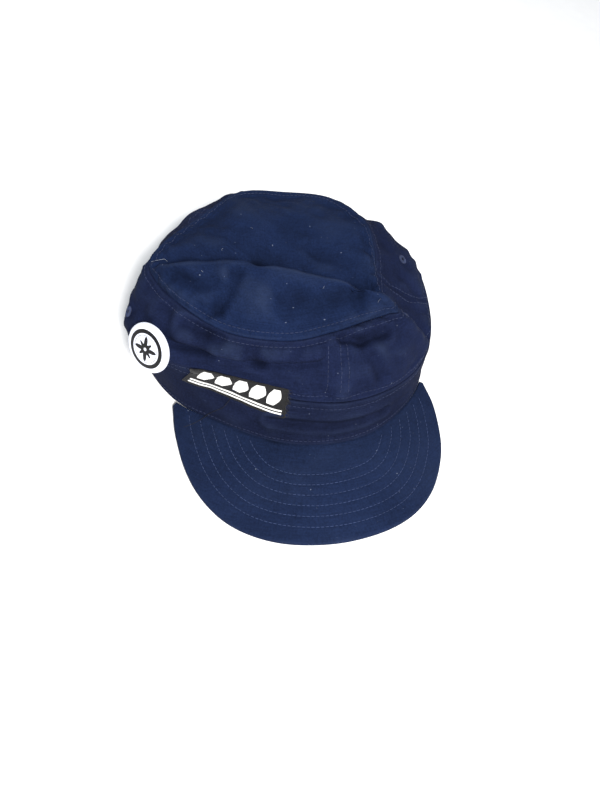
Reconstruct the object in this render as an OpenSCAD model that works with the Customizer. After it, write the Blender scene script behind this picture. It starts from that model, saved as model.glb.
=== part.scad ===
// Soft cadet cap lying on a table: slumped crown, curved visor, woven patch, pin-back button.
// Millimetres, +Z up, visor toward -Y, origin at the middle of the head opening on the table.

/* [Visor] */
// Height of the visor's centre line above the table
visor_crown_z = 16.6; // [8:0.1:28]
// How far the visor's side edges drop below its centre line
visor_arch = 12.4; // [0:0.1:20]
// Thickness of the stiff board inside the visor
board_th = 2.0; // [1:0.1:3]
// Thickness of each visor cover cloth
cover_th = 0.8; // [0.4:0.1:1.5]
// How far the board stops short of the visor's edge
board_inset = 2.5; // [1:0.1:6]

/* [Cloth] */
// Thickness of the band (two layers and interfacing)
band_th = 1.6; // [0.8:0.1:3]
// Thickness of the crown wall and top cloth
cloth_th = 1.2; // [0.6:0.1:2]
// Thickness of the sweatband
sweat_th = 1.0; // [0.5:0.1:2]
// Thickness of the seam tapes
tape_th = 0.5; // [0.3:0.1:1]
// Air left between neighbouring layers
gap = 0.25; // [0.1:0.05:0.5]

/* [Rear closure] */
// Half width of the opening at the back, in ring stations
arch_half = 0.9; // [0.4:0.05:1.4]
// Width of the buckle across the strap
buckle_w = 24; // [16:0.5:32]
// Length of the buckle along the strap
buckle_l = 14; // [10:0.5:20]

/* [Button badge] */
// Radius of the button
badge_r = 15.9; // [10:0.1:30]
// Height of the domed face above its back
badge_h = 4.6; // [3:0.1:8]
// Diameter of the pin wire
pin_d = 0.9; // [0.6:0.1:1.5]

/* [Patch and vents] */
// Thickness of the woven patch
patch_th = 0.8; // [0.4:0.1:1.5]
// Height of the patch
patch_h = 17; // [10:0.5:30]
// Height of its lower left corner above the band seam
patch_low = -9.5; // [-20:0.5:0]
// How much lower its right end sits
patch_tilt = -3.5; // [-8:0.5:4]
// Outer diameter of a stitched vent
vent_d = 7; // [5:0.1:12]
// Hole through a stitched vent
vent_hole = 2.6; // [1:0.1:6]

/* [Shape curves] */
// Lower edge of the band, 16 stations from the front centre toward +X
rim_c = [[2,-87,16],[34,-82,14],[63,-64,9],[85,-38,4],[97,0,0],[93,38,0],[73,67,0],[40,86,0],
         [0,92,0],[-42,87,0],[-79,68,0],[-102,37,0],[-108,3,0],[-92,-35,4],[-63,-60,9],[-31,-80,14]];
// Seam between band and wall
seam_c = [[5,-70,41],[32,-68,40],[59,-57,38],[79,-38,37],[93,-5,33],[95,38,33],[78,69,33],
          [43,91,33],[0,97,33],[-44,92,33],[-80,72,33],[-104,40,33],[-112,4,34],[-93,-27,40],
          [-59,-47,44],[-26,-63,42]];
// Wall at half its height
wall_c = [[7,-58,58],[32,-55,59],[57,-46,58],[69,-34,58],[71,-11,47],[80,37,48],[73,64,46],
          [44,92,43],[0,99,40],[-43,98,44],[-76,79,45],[-98,43,47],[-115,3,46],[-103,-22,50],
          [-66,-41,56],[-25,-53,58]];
// Seam between wall and top
top_c = [[8,-36,69],[29,-31,70],[46,-27,71],[53,-24,70],[49,3,59],[54,36,61],[52,60,62],[34,87,57],
         [3,96,55],[-32,92,60],[-62,66,64],[-88,42,67],[-97,22,68],[-84,-5,70],[-56,-30,69],[-20,-39,68]];
// Ridge of the fold across the top, left to right
ridge_c = [[-96,21,70],[-80,11,83],[-62,9,85],[-42,6,86],[-20,0,86],
           [2,-7,85],[22,-12,84],[38,-20,82],[52,-22,72]];
// Valley behind the ridge
valley_c = [[-96,23,69],[-80,18,74],[-60,17,72],[-40,14,70],[-17,9,66],
            [6,3,62],[26,-1,58],[40,-8,56],[51,-15,61]];
// Middle of the rear top
rear_c = [[-96,25,69],[-82,34,71],[-60,45,72],[-34,52,72],[-8,50,70],
          [20,42,67],[38,28,65],[46,8,61],[51,-10,62]];
// Outer edge of the visor, left tip to right tip, seen from above
edge_c = [[-92,-42],[-92,-62],[-88,-88],[-80,-109],[-67,-127],[-49,-140],[-27,-148],[0,-151],
          [27,-148],[49,-140],[66,-127],[78,-110],[86,-90],[89,-63],[86,-44]];

/* [Hidden] */
$fn = 48;
navy = [0.10, 0.14, 0.26];
// the visor is sewn to the band from station -vis_t to vis_t, in vis_n steps
vis_n = 14;
vis_t = 2.85;
// places of the badge on the wall and of the buckle on the band: station, share of the height
badge_t = 13.1;
badge_w = 0.5;
buckle_t = 6.98;
buckle_v = 0.47;
// hinge axes: the pin's in the badge's frame, the lever's in the buckle's
pivot_u = -10.2;
pivot_w = 1.6;
lever_x = -3;
lever_z = 4.5;
// stitched vents on the wall
vents = [[3.89, 0.55], [4.91, 0.55], [12.08, 0.62], [10.9, 0.6]];

function unit(a) = a / norm(a);
function wrap(i) = ((i % 16) + 16) % 16;
function cr(a, b, c, d, u) =
  0.5 * (2*b + (c - a)*u + (2*a - 5*b + 4*c - d)*u*u + (3*b - 3*c + d - a)*u*u*u);
// closed ring curve through 16 stations
function ring(c, t) = let (i = floor(t), u = t - i)
  cr(c[wrap(i - 1)], c[wrap(i)], c[wrap(i + 1)], c[wrap(i + 2)], u);
// open curve through a list, s from 0 to len-1
function path(c, s) = let (n = len(c), i = min(max(floor(s), 0), n - 2), u = s - i)
  cr(i > 0 ? c[i - 1] : 2*c[0] - c[1], c[i], c[i + 1], i < n - 2 ? c[i + 2] : 2*c[n - 1] - c[n - 2], u);
function band_at(t, v) = ring(rim_c, t) * (1 - v) + ring(seam_c, t) * v;
function wall_at(t, w) = ring(seam_c, t) * ((1 - w)*(1 - 2*w)) + ring(wall_c, t) * (4*w*(1 - w))
  + ring(top_c, t) * (w*(2*w - 1));
function band_n(t, v) = unit(cross(band_at(t + 0.05, v) - band_at(t - 0.05, v),
  ring(seam_c, t) - ring(rim_c, t)));
function wall_n(t, w) = unit(cross(wall_at(t + 0.05, w) - wall_at(t - 0.05, w),
  wall_at(t, w + 0.03) - wall_at(t, w - 0.03)));
function band_off(t, v, d) = band_at(t, v) - band_n(t, v) * d;
function wall_off(t, w, d) = wall_at(t, w) - wall_n(t, w) * d;
// top cloth: s runs left to right, v from the front seam over ridge and valley to the rear seam
function top_knots(s) = [ring(top_c, 12.2 + 6.9*s), path(ridge_c, 8*s), path(valley_c, 8*s),
  path(rear_c, 8*s), ring(top_c, 11.8 - 8.3*s)];
function top_at(s, v) = path(top_knots(s), 4*v);
function top_n(s, v) = let (a = max(s - 0.01, 0), b = min(s + 0.01, 1),
    c = max(v - 0.01, 0), d = min(v + 0.01, 1))
  unit(cross(top_at(b, v) - top_at(a, v), top_at(s, d) - top_at(s, c)));
// visor
function visor_z(x) = visor_crown_z - visor_arch * pow(x / 90, 2);
function visor_in(k) = let (p = ring(rim_c, vis_t * (2*k/vis_n - 1)), r = unit([p[0], p[1], 0]))
  [p[0] + 0.6*r[0], p[1] + 0.6*r[1]];
function visor_xy(k, w) = let (a = visor_in(k), b = path(edge_c, k)) a + (b - a) * w;
function visor_at(k, w, d) = let (p = visor_xy(k, w)) [p[0], p[1], visor_z(p[0]) - d];

// closed solid between an outer and an inner grid of points
module slab(p, q, loop = false) {
  n = len(p);
  m = len(p[0]);
  h = n * m;
  pts = concat([for (r = p) for (a = r) a], [for (r = q) for (a = r) a]);
  last = loop ? n - 1 : n - 2;
  polyhedron(points = pts, faces = concat(
    [for (i = [0:last], j = [0:m - 2]) let (k = (i + 1) % n) each [
      [i*m + j, i*m + j + 1, k*m + j + 1], [i*m + j, k*m + j + 1, k*m + j],
      [h + i*m + j, h + k*m + j + 1, h + i*m + j + 1], [h + i*m + j, h + k*m + j, h + k*m + j + 1]]],
    [for (i = [0:last]) let (k = (i + 1) % n, e = m - 1) each [
      [h + i*m, i*m, k*m], [h + i*m, k*m, h + k*m],
      [h + i*m + e, k*m + e, i*m + e], [h + i*m + e, h + k*m + e, k*m + e]]],
    loop ? [] : [for (j = [0:m - 2]) let (e = (n - 1)*m) each [
      [h + e + j, e + j, e + j + 1], [h + e + j, e + j + 1, h + e + j + 1],
      [h + j, j + 1, j], [h + j, h + j + 1, j + 1]]]));
}
module band_sheet(t0, t1, v0, v1, d0, d1, n, m = 4)
  slab([for (i = [0:n]) [for (j = [0:m]) band_off(t0 + (t1 - t0)*i/n, v0 + (v1 - v0)*j/m, d0)]],
       [for (i = [0:n]) [for (j = [0:m]) band_off(t0 + (t1 - t0)*i/n, v0 + (v1 - v0)*j/m, d1)]]);
module wall_sheet(t0, t1, w0, w1, d0, d1, n, m = 8)
  slab([for (i = [0:n]) [for (j = [0:m]) wall_off(t0 + (t1 - t0)*i/n, w0 + (w1 - w0)*j/m, d0)]],
       [for (i = [0:n]) [for (j = [0:m]) wall_off(t0 + (t1 - t0)*i/n, w0 + (w1 - w0)*j/m, d1)]]);
// local frame: x, y in the sheet, z out of it
module place(o, x, z) {
  y = unit(cross(z, x));
  multmatrix([[x[0], y[0], z[0], o[0]], [x[1], y[1], z[1], o[1]],
    [x[2], y[2], z[2], o[2]], [0, 0, 0, 1]]) children();
}
function along(t, w) = unit(wall_at(t + 0.05, w) - wall_at(t - 0.05, w));
module on_wall(t, w) {
  z = wall_n(t, w);
  place(wall_at(t, w), unit(along(t, w) - z*(z*along(t, w))), z) children();
}
// the badge stands off the cloth and leans outward from it
badge_lift = 1;
badge_lean = 0.6;
badge_z = unit(wall_n(badge_t, badge_w)*(1 - badge_lean) + [-0.76, -0.53, 0.37]*badge_lean);
module on_badge() {
  x = along(badge_t, badge_w);
  place(wall_at(badge_t, badge_w) + badge_z*badge_lift, unit(x - badge_z*(badge_z*x)), badge_z)
    children();
}
buckle_z = band_n(buckle_t, buckle_v);
module on_buckle() {
  x = unit(band_at(buckle_t + 0.1, buckle_v) - band_at(buckle_t - 0.1, buckle_v));
  place(band_at(buckle_t, buckle_v), unit(x - buckle_z*(buckle_z*x)), buckle_z) children();
}
module vent_holes(list) for (k = list)
  on_wall(vents[k][0], vents[k][1]) translate([0, 0, -4]) cylinder(d = vent_d + 0.3, h = 8);

// ---- visor
// a cover lies flat to 2.4 mm from the visor's edge, and turns down or up from there
function visor_share(k, j) = j == 6 ? 1 : j/5 * (1 - 2.4/norm(visor_xy(k, 1) - visor_xy(k, 0)));
module visor_layer(d0, d1, e0, e1) slab(
  [for (i = [0:42]) [for (j = [0:6]) visor_at(i/3, visor_share(i/3, j), j == 6 ? e0 : d0)]],
  [for (i = [0:42]) [for (j = [0:6]) visor_at(i/3, visor_share(i/3, j), j == 6 ? e1 : d1)]]);
function board_xy(k, w) = let (p = visor_xy(k, 1), q = visor_xy(k, 0), r = p - q, l = norm(r))
  q + r * (0.02 + (0.98 - (board_inset + 1)/max(l, board_inset + 6)) * w);
function board_at(k, w, d) = let (p = board_xy(k, w)) [p[0], p[1], visor_z(p[0]) - d];
module visor_board() color("white") slab(
  [for (i = [0:40]) [for (j = [0:5]) board_at(0.5 + 13*i/40, j/5, cover_th + 0.1)]],
  [for (i = [0:40]) [for (j = [0:5]) board_at(0.5 + 13*i/40, j/5, cover_th + board_th - 0.1)]]);
module visor_top_cover() color(navy) visor_layer(0, cover_th, 0.9, 1.7);
module visor_under_cover() color(navy)
  visor_layer(cover_th + board_th, 2*cover_th + board_th, 1.85, 2.65);

// ---- band and sweatband
module band_front() color(navy) band_sheet(-4.4, 4.4, 0, 0.965, 0, band_th, 52);
module band_rear_right() color(navy) band_sheet(4.44, 8 - arch_half, 0, 0.965, 0, band_th, 16);
module band_rear_left() color(navy) band_sheet(8 + arch_half, 11.56, 0, 0.965, 0, band_th, 16);
module sweatband() color("black")
  band_sheet(arch_half - 8, 8 - arch_half, 0.05, 0.88, band_th + gap, band_th + gap + sweat_th, 72, 2);
module size_tag() color("white") band_sheet(5.4, 6.1, 0.3, 0.8,
  band_th + 2*gap + sweat_th, band_th + 2*gap + sweat_th + 0.4, 4, 2);

// ---- crown
module crown_front_right() color(navy) difference() {
  wall_sheet(0.03, 4.28, 0.03, 0.972, 0, cloth_th, 29);
  vent_holes([0]);
}
module crown_rear_right() color(navy) difference() {
  wall_sheet(4.33, 7.97, 0.03, 0.955, 0, cloth_th, 21);
  vent_holes([1]);
}
module crown_rear_left() color(navy) difference() {
  wall_sheet(8.03, 11.42, 0.03, 0.955, 0, cloth_th, 20);
  vent_holes([3]);
}
module crown_front_left() color(navy) difference() {
  wall_sheet(11.47, 15.97, 0.03, 0.972, 0, cloth_th, 28);
  vent_holes([2]);
  on_badge() for (u = [-10.2, 9.8]) translate([u, 0, -6]) cylinder(d = 6, h = 5.9);
}
module crown_top() color(navy) slab(
  [for (i = [0:30]) [for (j = [0:24]) top_at(i/30, j/24)]],
  [for (i = [0:30]) [for (j = [0:24]) top_at(i/30, j/24) - top_n(i/30, j/24)*cloth_th]]);
module vent_eyelets() color("navy") for (k = vents) on_wall(k[0], k[1]) translate([0, 0, -1.7])
  difference() {
    cylinder(d = vent_d, h = 2.2);
    translate([0, 0, -1]) cylinder(d = vent_hole, h = 5);
  }

// ---- seam tapes inside the crown
tape_d = cloth_th + gap;
module top_seam_tape() color("black") slab(
  [for (i = [0:95]) [for (j = [0:2]) wall_off(i/6, 0.74 + 0.08*j, tape_d)]],
  [for (i = [0:95]) [for (j = [0:2]) wall_off(i/6, 0.74 + 0.08*j, tape_d + tape_th)]], loop = true);
module front_seam_tape() color("black") wall_sheet(-0.22, 0.22, 0.05, 0.7, tape_d, tape_d + tape_th, 2, 10);
module rear_seam_tape() color("black") wall_sheet(7.78, 8.22, 0.05, 0.7, tape_d, tape_d + tape_th, 2, 10);
module side_seam_tape_right() color("black")
  wall_sheet(4.14, 4.48, 0.05, 0.7, tape_d, tape_d + tape_th, 2, 10);
module side_seam_tape_left() color("black")
  wall_sheet(11.26, 11.64, 0.05, 0.7, tape_d, tape_d + tape_th, 2, 10);

// ---- woven patch sewn over the band seam: plain leaning lozenges above a double line
label_t0 = 13.31;
label_t1 = 15.14;
// height above the band seam in mm, q from 0 at the patch's lower edge to 1 at its upper edge
function label_h(t, q) = patch_low + patch_tilt*(t - label_t0)/(label_t1 - label_t0) + patch_h*q;
function wall_len(t) = norm(ring(wall_c, t) - ring(seam_c, t)) + norm(ring(top_c, t) - ring(wall_c, t));
function label_at(t, q, d) = let (h = label_h(t, q))
  h < 0 ? band_off(t, 1 + h/norm(ring(seam_c, t) - ring(rim_c, t)), d) : wall_off(t, h/wall_len(t), d);
module label_sheet(t0, t1, lean, q0, q1, swell, d0, d1, n, m) {
  function at(i, j, d) = let (y = j/m, f = 1 - swell + swell*sin(180*y), c = (t0 + t1)/2)
    label_at(c + (i/n - 0.5)*(t1 - t0)*f + lean*(y - 0.5), q0 + (q1 - q0)*y, d);
  slab([for (i = [0:n]) [for (j = [0:m]) at(i, j, d0)]], [for (i = [0:n]) [for (j = [0:m]) at(i, j, d1)]]);
}
module label_patch() color("black")
  label_sheet(label_t0, label_t1, 0, 0, 1, 0, -gap - patch_th, -gap, 20, 14);
print_lo = -gap - patch_th - 0.6;
print_hi = -gap - patch_th - 0.35;
module label_print() color("white") {
  for (k = [0:4]) let (c = label_t0 + 0.27 + 0.32*k, r = 0.13 + 0.015*(k % 2))
    label_sheet(c - r, c + r, 0.1, 0.36, 0.92, 0.45, print_lo, print_hi, 6, 10);
  for (q = [0.1, 0.2])
    label_sheet(label_t0 + 0.08, label_t1 - 0.08, 0, q, q + 0.05, 0, print_lo, print_hi, 18, 1);
}

// ---- button badge
function face(o) = [for (r = [0:1:13]) [r, badge_h - o - 0.9*pow(r/13, 2)]];
function roll(o) = [for (a = [70:-14:-28])
  [13 + (badge_r - 13 - o)*cos(a), 1.3 + (2.2 - o)*max(sin(a), -0.5)]];
module badge_layer(o0, o1) on_badge() rotate_extrude($fn = 72) difference() {
  polygon(concat([[0, 0.3]], [for (p = face(o0)) p], roll(o0), [[badge_r - 1.6 - o0, 0.3]]));
  polygon(concat([[-1, -1], [-1, face(o1)[0][1]]], face(o1), roll(o1), [[badge_r - 2.1 - o1, -1]]));
}
module badge_film() color([0.9, 0.9, 0.95]) badge_layer(0, 0.14);
module badge_disc() color("white") badge_layer(0.16, 0.34);
module badge_shell() color("silver") badge_layer(0.36, 0.7);
module badge_back_ring() color("silver") on_badge() difference() {
  union() {
    translate([0, 0, 0.35]) difference() {
      cylinder(r = 12.6, h = 0.5);
      translate([0, 0, -1]) cylinder(r = 11.4, h = 3);
    }
    for (y = [0.35, 2.15]) translate([-11.6, y, 0.35]) cube([2.8, 0.7, 2.4]);
  }
  translate([9, -1.3, -1]) cube([5, 2.6, 4]);
  translate([pivot_u, 4, pivot_w]) rotate([90, 0, 0]) cylinder(d = pin_d + 0.3, h = 5, $fn = 24);
}
// bent wire: the hinge leg lies along y between the lugs, the long leg behind the cloth
pin_c = [[pivot_u, 3.3, pivot_w], [pivot_u, -0.9, pivot_w], [-10.1, -1.4, 1.3], [-9.8, -1.5, 0.4],
  [-9.4, -1, -1.4], [-9.1, -0.4, -2.9], [-8.6, 0, -3.6], [-7.6, 0, -3.9], [7.3, 0, -4.7],
  [8.4, 0, -4.4], [9, 0, -3], [9.4, 0, -0.4], [9.9, 0, 0.6], [11.3, 0, 1.2]];
function lean(c, i) = unit(c[min(i + 1, len(c) - 1)] - c[max(i - 1, 0)]);
function side(c, i) = let (a = i == 0 ? [0, 0, 1] : side(c, i - 1), z = lean(c, i)) unit(a - z*(z*a));
module wire(c, d, sides = 12) {
  rings = [for (i = [0:len(c) - 1]) let (x = side(c, i), y = cross(lean(c, i), x))
    [for (k = [0:sides - 1]) c[i] + d/2*(x*cos(360*k/sides) + y*sin(360*k/sides))]];
  last = (len(c) - 1)*sides;
  polyhedron(points = [for (r = rings) each r], faces = concat(
    [[for (k = [0:sides - 1]) k], [for (k = [sides - 1:-1:0]) last + k]],
    [for (i = [0:len(c) - 2], k = [0:sides - 1]) let (a = i*sides, n = (k + 1) % sides)
      each [[a + k, a + sides + k, a + sides + n], [a + k, a + sides + n, a + n]]]));
}
module badge_pin() color("silver") on_badge() wire(pin_c, pin_d);

// ---- rear closure
module closure_strap() color(navy) band_sheet(6.62, 9.35, 0.22, 0.72, -1.5, -0.3, 22, 2);
module buckle_tab() color(navy) band_sheet(6.15, 6.55, 0.24, 0.7, -1.3, -0.3, 4, 2);
module buckle_frame() color("gold") on_buckle() {
  difference() {
    translate([-buckle_l/2, -buckle_w/2, 2]) cube([buckle_l, buckle_w, 1.1]);
    translate([-buckle_l/2 + 2.4, -buckle_w/2 + 2.3, 0]) cube([buckle_l - 4.8, buckle_w - 4.6, 5]);
  }
  for (s = [-1, 1]) difference() {
    translate([lever_x - 1.9, s*(buckle_w/2 - 0.6) - 0.6, 2]) cube([3.8, 1.2, 4]);
    translate([lever_x, s*(buckle_w/2) - 3, lever_z]) rotate([-90, 0, 0])
      cylinder(d = 1.9, h = 6, $fn = 24);
  }
}
module buckle_lever() color("gold") on_buckle() {
  translate([lever_x, -buckle_w/2 + 1.6, lever_z]) rotate([-90, 0, 0])
    cylinder(d = 2.2, h = buckle_w - 3.2, $fn = 32);
  translate([lever_x, -buckle_w/2 + 0.2, lever_z]) rotate([-90, 0, 0])
    cylinder(d = 1.3, h = buckle_w - 0.4, $fn = 32);
  translate([lever_x, -buckle_w/2 + 1.6, lever_z - 0.4]) cube([9.5, buckle_w - 3.2, 1.2]);
}

visor_board();
visor_top_cover();
visor_under_cover();
band_front();
band_rear_right();
band_rear_left();
crown_front_right();
crown_front_left();
crown_rear_right();
crown_rear_left();
crown_top();
sweatband();
top_seam_tape();
front_seam_tape();
rear_seam_tape();
side_seam_tape_right();
side_seam_tape_left();
vent_eyelets();
label_patch();
label_print();
badge_shell();
badge_disc();
badge_film();
badge_back_ring();
badge_pin();
closure_strap();
buckle_tab();
buckle_frame();
buckle_lever();
size_tag();
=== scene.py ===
"""A soft navy peaked cap lying on a table: cloth, stitching, badge, patch and rear closure.

Every shape below is worked out in millimetres on the same station curves as the frame, and
is turned into metres when its mesh is made. Stations run 0 to 16 round the head from the
front centre toward +X; a share of height runs from 0 at the lower edge to 1 at the upper.
"""

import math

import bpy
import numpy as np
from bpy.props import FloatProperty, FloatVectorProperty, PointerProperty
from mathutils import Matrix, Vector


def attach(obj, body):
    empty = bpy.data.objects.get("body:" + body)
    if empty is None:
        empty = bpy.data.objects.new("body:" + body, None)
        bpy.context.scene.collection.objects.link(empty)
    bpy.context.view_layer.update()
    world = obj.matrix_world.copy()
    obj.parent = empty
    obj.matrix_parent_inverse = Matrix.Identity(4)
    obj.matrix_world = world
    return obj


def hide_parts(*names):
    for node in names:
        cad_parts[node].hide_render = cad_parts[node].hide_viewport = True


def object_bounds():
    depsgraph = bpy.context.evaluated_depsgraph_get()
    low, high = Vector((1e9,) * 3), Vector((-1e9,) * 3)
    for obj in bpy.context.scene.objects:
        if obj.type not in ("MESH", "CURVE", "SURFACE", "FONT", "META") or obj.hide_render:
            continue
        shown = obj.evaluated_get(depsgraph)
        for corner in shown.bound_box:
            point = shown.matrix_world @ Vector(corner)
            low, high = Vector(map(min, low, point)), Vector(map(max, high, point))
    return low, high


bl_info = {
    "name": "Peaked Cloth Cap",
    "version": (1, 0, 0),
    "blender": (4, 5, 0),
    "location": "View3D > Sidebar > Cap",
    "description": "Builds the cloth, stitching, badge, patch and closure of a peaked cap",
    "category": "Add Mesh",
}

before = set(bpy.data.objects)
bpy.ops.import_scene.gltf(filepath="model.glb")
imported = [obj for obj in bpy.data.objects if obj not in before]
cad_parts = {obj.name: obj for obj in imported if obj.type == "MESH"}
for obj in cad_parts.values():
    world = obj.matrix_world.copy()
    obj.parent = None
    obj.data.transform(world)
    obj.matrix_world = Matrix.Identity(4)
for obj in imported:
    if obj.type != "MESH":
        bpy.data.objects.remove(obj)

CAD_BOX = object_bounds()
MM = 0.001
TURN = 2 * math.pi

# ---------------------------------------------------------------- station curves, millimetres
RIM = np.array([
    (2, -87, 16), (34, -82, 14), (63, -64, 9), (85, -38, 4), (97, 0, 0), (93, 38, 0),
    (73, 67, 0), (40, 86, 0), (0, 92, 0), (-42, 87, 0), (-79, 68, 0), (-102, 37, 0),
    (-108, 3, 0), (-92, -35, 4), (-63, -60, 9), (-31, -80, 14)], float)
SEAM = np.array([
    (5, -70, 41), (32, -68, 40), (59, -57, 38), (79, -38, 37), (93, -5, 33), (95, 38, 33),
    (78, 69, 33), (43, 91, 33), (0, 97, 33), (-44, 92, 33), (-80, 72, 33), (-104, 40, 33),
    (-112, 4, 34), (-93, -27, 40), (-59, -47, 44), (-26, -63, 42)], float)
WALL = np.array([
    (7, -58, 58), (32, -55, 59), (57, -46, 58), (69, -34, 58), (71, -11, 47), (80, 37, 48),
    (73, 64, 46), (44, 92, 43), (0, 99, 40), (-43, 98, 44), (-76, 79, 45), (-98, 43, 47),
    (-115, 3, 46), (-103, -22, 50), (-66, -41, 56), (-25, -53, 58)], float)
TOP = np.array([
    (8, -36, 69), (29, -31, 70), (46, -27, 71), (53, -24, 70), (49, 3, 59), (54, 36, 61),
    (52, 60, 62), (34, 87, 57), (3, 96, 55), (-32, 92, 60), (-62, 66, 64), (-88, 42, 67),
    (-97, 22, 68), (-84, -5, 70), (-56, -30, 69), (-20, -39, 68)], float)
RIDGE = np.array([
    (-96, 21, 70), (-80, 11, 83), (-62, 9, 85), (-42, 6, 86), (-20, 0, 86), (2, -7, 85),
    (22, -12, 84), (38, -20, 82), (52, -22, 72)], float)
VALLEY = np.array([
    (-96, 23, 69), (-80, 18, 74), (-60, 17, 72), (-40, 14, 70), (-17, 9, 66), (6, 3, 62),
    (26, -1, 58), (40, -8, 56), (51, -15, 61)], float)
REAR = np.array([
    (-96, 25, 69), (-82, 34, 71), (-60, 45, 72), (-34, 52, 72), (-8, 50, 70), (20, 42, 67),
    (38, 28, 65), (46, 8, 61), (51, -10, 62)], float)
EDGE = np.array([
    (-92, -42), (-92, -62), (-88, -88), (-80, -109), (-67, -127), (-49, -140), (-27, -148),
    (0, -151), (27, -148), (49, -140), (66, -127), (78, -110), (86, -90), (89, -63),
    (86, -44)], float)

STATIONS = 16
VISOR_REACH = 2.85          # the visor is sewn on from station -2.85 to 2.85
VISOR_STEPS = 14
VISOR_CROWN = 16.6          # height of the visor's middle
VISOR_ARCH = 12.4           # drop at 90 mm to the side
VISOR_DEPTH = 3.6           # two covers and the board
CLOTH = 1.1                 # thickness of the crown cloth
COVER = 0.75                # thickness of a visor cover
PANEL_SEAMS = (4.3, 8.0, 11.45)
REAR_MIDDLE = 8             # station opposite the front centre
ARCH = 0.9                  # half width of the rear opening, in stations
ARCH_FROM, ARCH_TO = REAR_MIDDLE - ARCH, REAR_MIDDLE + ARCH
VENTS = ((3.89, 0.55), (4.91, 0.55), (12.08, 0.62), (10.9, 0.6))
VENT_REACH = 1.9            # radius of the hole cut for a vent
SEAM_ROW = 4.4              # from the top or the band seam to its stitch row
TOP_ROW = 5.0               # from the top seam to the row on the crown's top
PANEL_ROW = 2.6             # from a panel seam to the row on each side of it
HEM_ROW = 3.0               # from the band's lower edge to its row
FRONT_ROWS = (15.86, 0.14, 0.32)        # stations of the rows at the centre front
BADGE_AT = (13.1, 0.5)
BADGE_LIFT = 1.0
BADGE_LEAN = 0.6
BADGE_FACING = (-0.76, -0.53, 0.37)
BADGE_R = 15.9
BADGE_H = 4.6
PATCH_FROM, PATCH_TO = 13.31, 15.14
PATCH_LOW, PATCH_TILT, PATCH_HIGH = -11.5, -2.0, 20.5
PATCH_LEAN = 0.34
STRAP = (6.62, 9.35, 0.22, 0.72)
TAB = (6.15, 6.55, 0.24, 0.7)


# ---------------------------------------------------------------- curves and surfaces
def catmull(a, b, c, d, u):
    """Catmull-Rom cubic from b to c at share u, with a and d as the neighbours."""
    u = u[..., None]
    return 0.5 * (2 * b + (c - a) * u + (2 * a - 5 * b + 4 * c - d) * u ** 2
                  + (3 * b - 3 * c + d - a) * u ** 3)


def ring(curve, t):
    """Point of a closed station curve at station t."""
    t = np.asarray(t, float)
    i = np.floor(t).astype(int)
    near = [curve[(i + k) % STATIONS] for k in (-1, 0, 1, 2)]
    return catmull(*near, t - i)


def open_path(curve, s):
    """Point of an open curve at s, which counts its points from 0; the ends carry straight on."""
    s = np.asarray(s, float)
    i = np.clip(np.floor(s).astype(int), 0, len(curve) - 2)
    ends = np.concatenate([[2 * curve[0] - curve[1]], curve, [2 * curve[-1] - curve[-2]]])
    return catmull(ends[i], ends[i + 1], ends[i + 2], ends[i + 3], s - i)


def smooth(x):
    """Smoothstep from 0 to 1 as x goes from 0 to 1."""
    x = np.clip(x, 0, 1)
    return x * x * (3 - 2 * x)


def hill(x, middle, width):
    """Bell curve over x, 1 high at its middle and 0.37 high a width away."""
    return np.exp(-((x - middle) / width) ** 2)


def unit(v):
    """Each vector scaled to length 1."""
    return v / np.maximum(np.linalg.norm(v, axis=-1, keepdims=True), 1e-9)


def band_at(t, v):
    """Head band: straight lines from the rim to the band seam."""
    return ring(RIM, t) * (1 - v)[..., None] + ring(SEAM, t) * v[..., None]


def wall_at(t, w):
    """Crown wall: a parabola from the band seam through the wall stations to the top seam."""
    a, b, c = (1 - w) * (1 - 2 * w), 4 * w * (1 - w), w * (2 * w - 1)
    return (ring(SEAM, t) * a[..., None] + ring(WALL, t) * b[..., None]
            + ring(TOP, t) * c[..., None])


def top_at(s, v):
    """Crown top: a spline from the front seam over ridge, valley and rear to the rear seam,
    drawn onto the top seam at both ends of the fold."""
    s, v = np.broadcast_arrays(s, v)
    knots = [ring(TOP, 12.2 + 6.9 * s), open_path(RIDGE, 8 * s), open_path(VALLEY, 8 * s),
             open_path(REAR, 8 * s), ring(TOP, 11.8 - 8.3 * s)]
    knots = np.stack([2 * knots[0] - knots[1], *knots, 2 * knots[4] - knots[3]])
    i = np.clip(np.floor(4 * v).astype(int), 0, 3)
    place = tuple(np.indices(i.shape))
    body = catmull(*[knots[(i + k, *place)] for k in range(4)], 4 * v - i)
    left = (1 - smooth(s / 0.05))[..., None]
    right = smooth((s - 0.95) / 0.05)[..., None]
    body = body * (1 - left) + ring(TOP, 12.2 - 0.4 * v) * left
    return body * (1 - right) + ring(TOP, 3.1 + 0.4 * v) * right


def visor_height(x):
    """Height of the visor's upper side: a parabola across its width."""
    return VISOR_CROWN - VISOR_ARCH * (x / 90) ** 2


def visor_ends(k):
    """The visor's inner and outer ends in plan, on its line k from the left tip."""
    inner = ring(RIM, VISOR_REACH * (2 * k / VISOR_STEPS - 1))[..., :2]
    return inner + 0.6 * unit(inner), open_path(EDGE, k)


def normal(surface, a, b, da=0.04, db=0.02):
    """Unit normal of a surface, from central differences of its two parameters."""
    along = surface(a + da, b) - surface(a - da, b)
    up = surface(a, np.minimum(b + db, 1)) - surface(a, np.maximum(b - db, 0))
    return unit(np.cross(along, up))


def top_normal(s, v):
    """Unit normal of the crown top, one-sided at its ends."""
    lo, hi = np.maximum(s - 0.008, 0), np.minimum(s + 0.008, 1)
    up, down = np.minimum(v + 0.008, 1), np.maximum(v - 0.008, 0)
    return unit(np.cross(top_at(hi, v) - top_at(lo, v), top_at(s, up) - top_at(s, down)))


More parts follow.
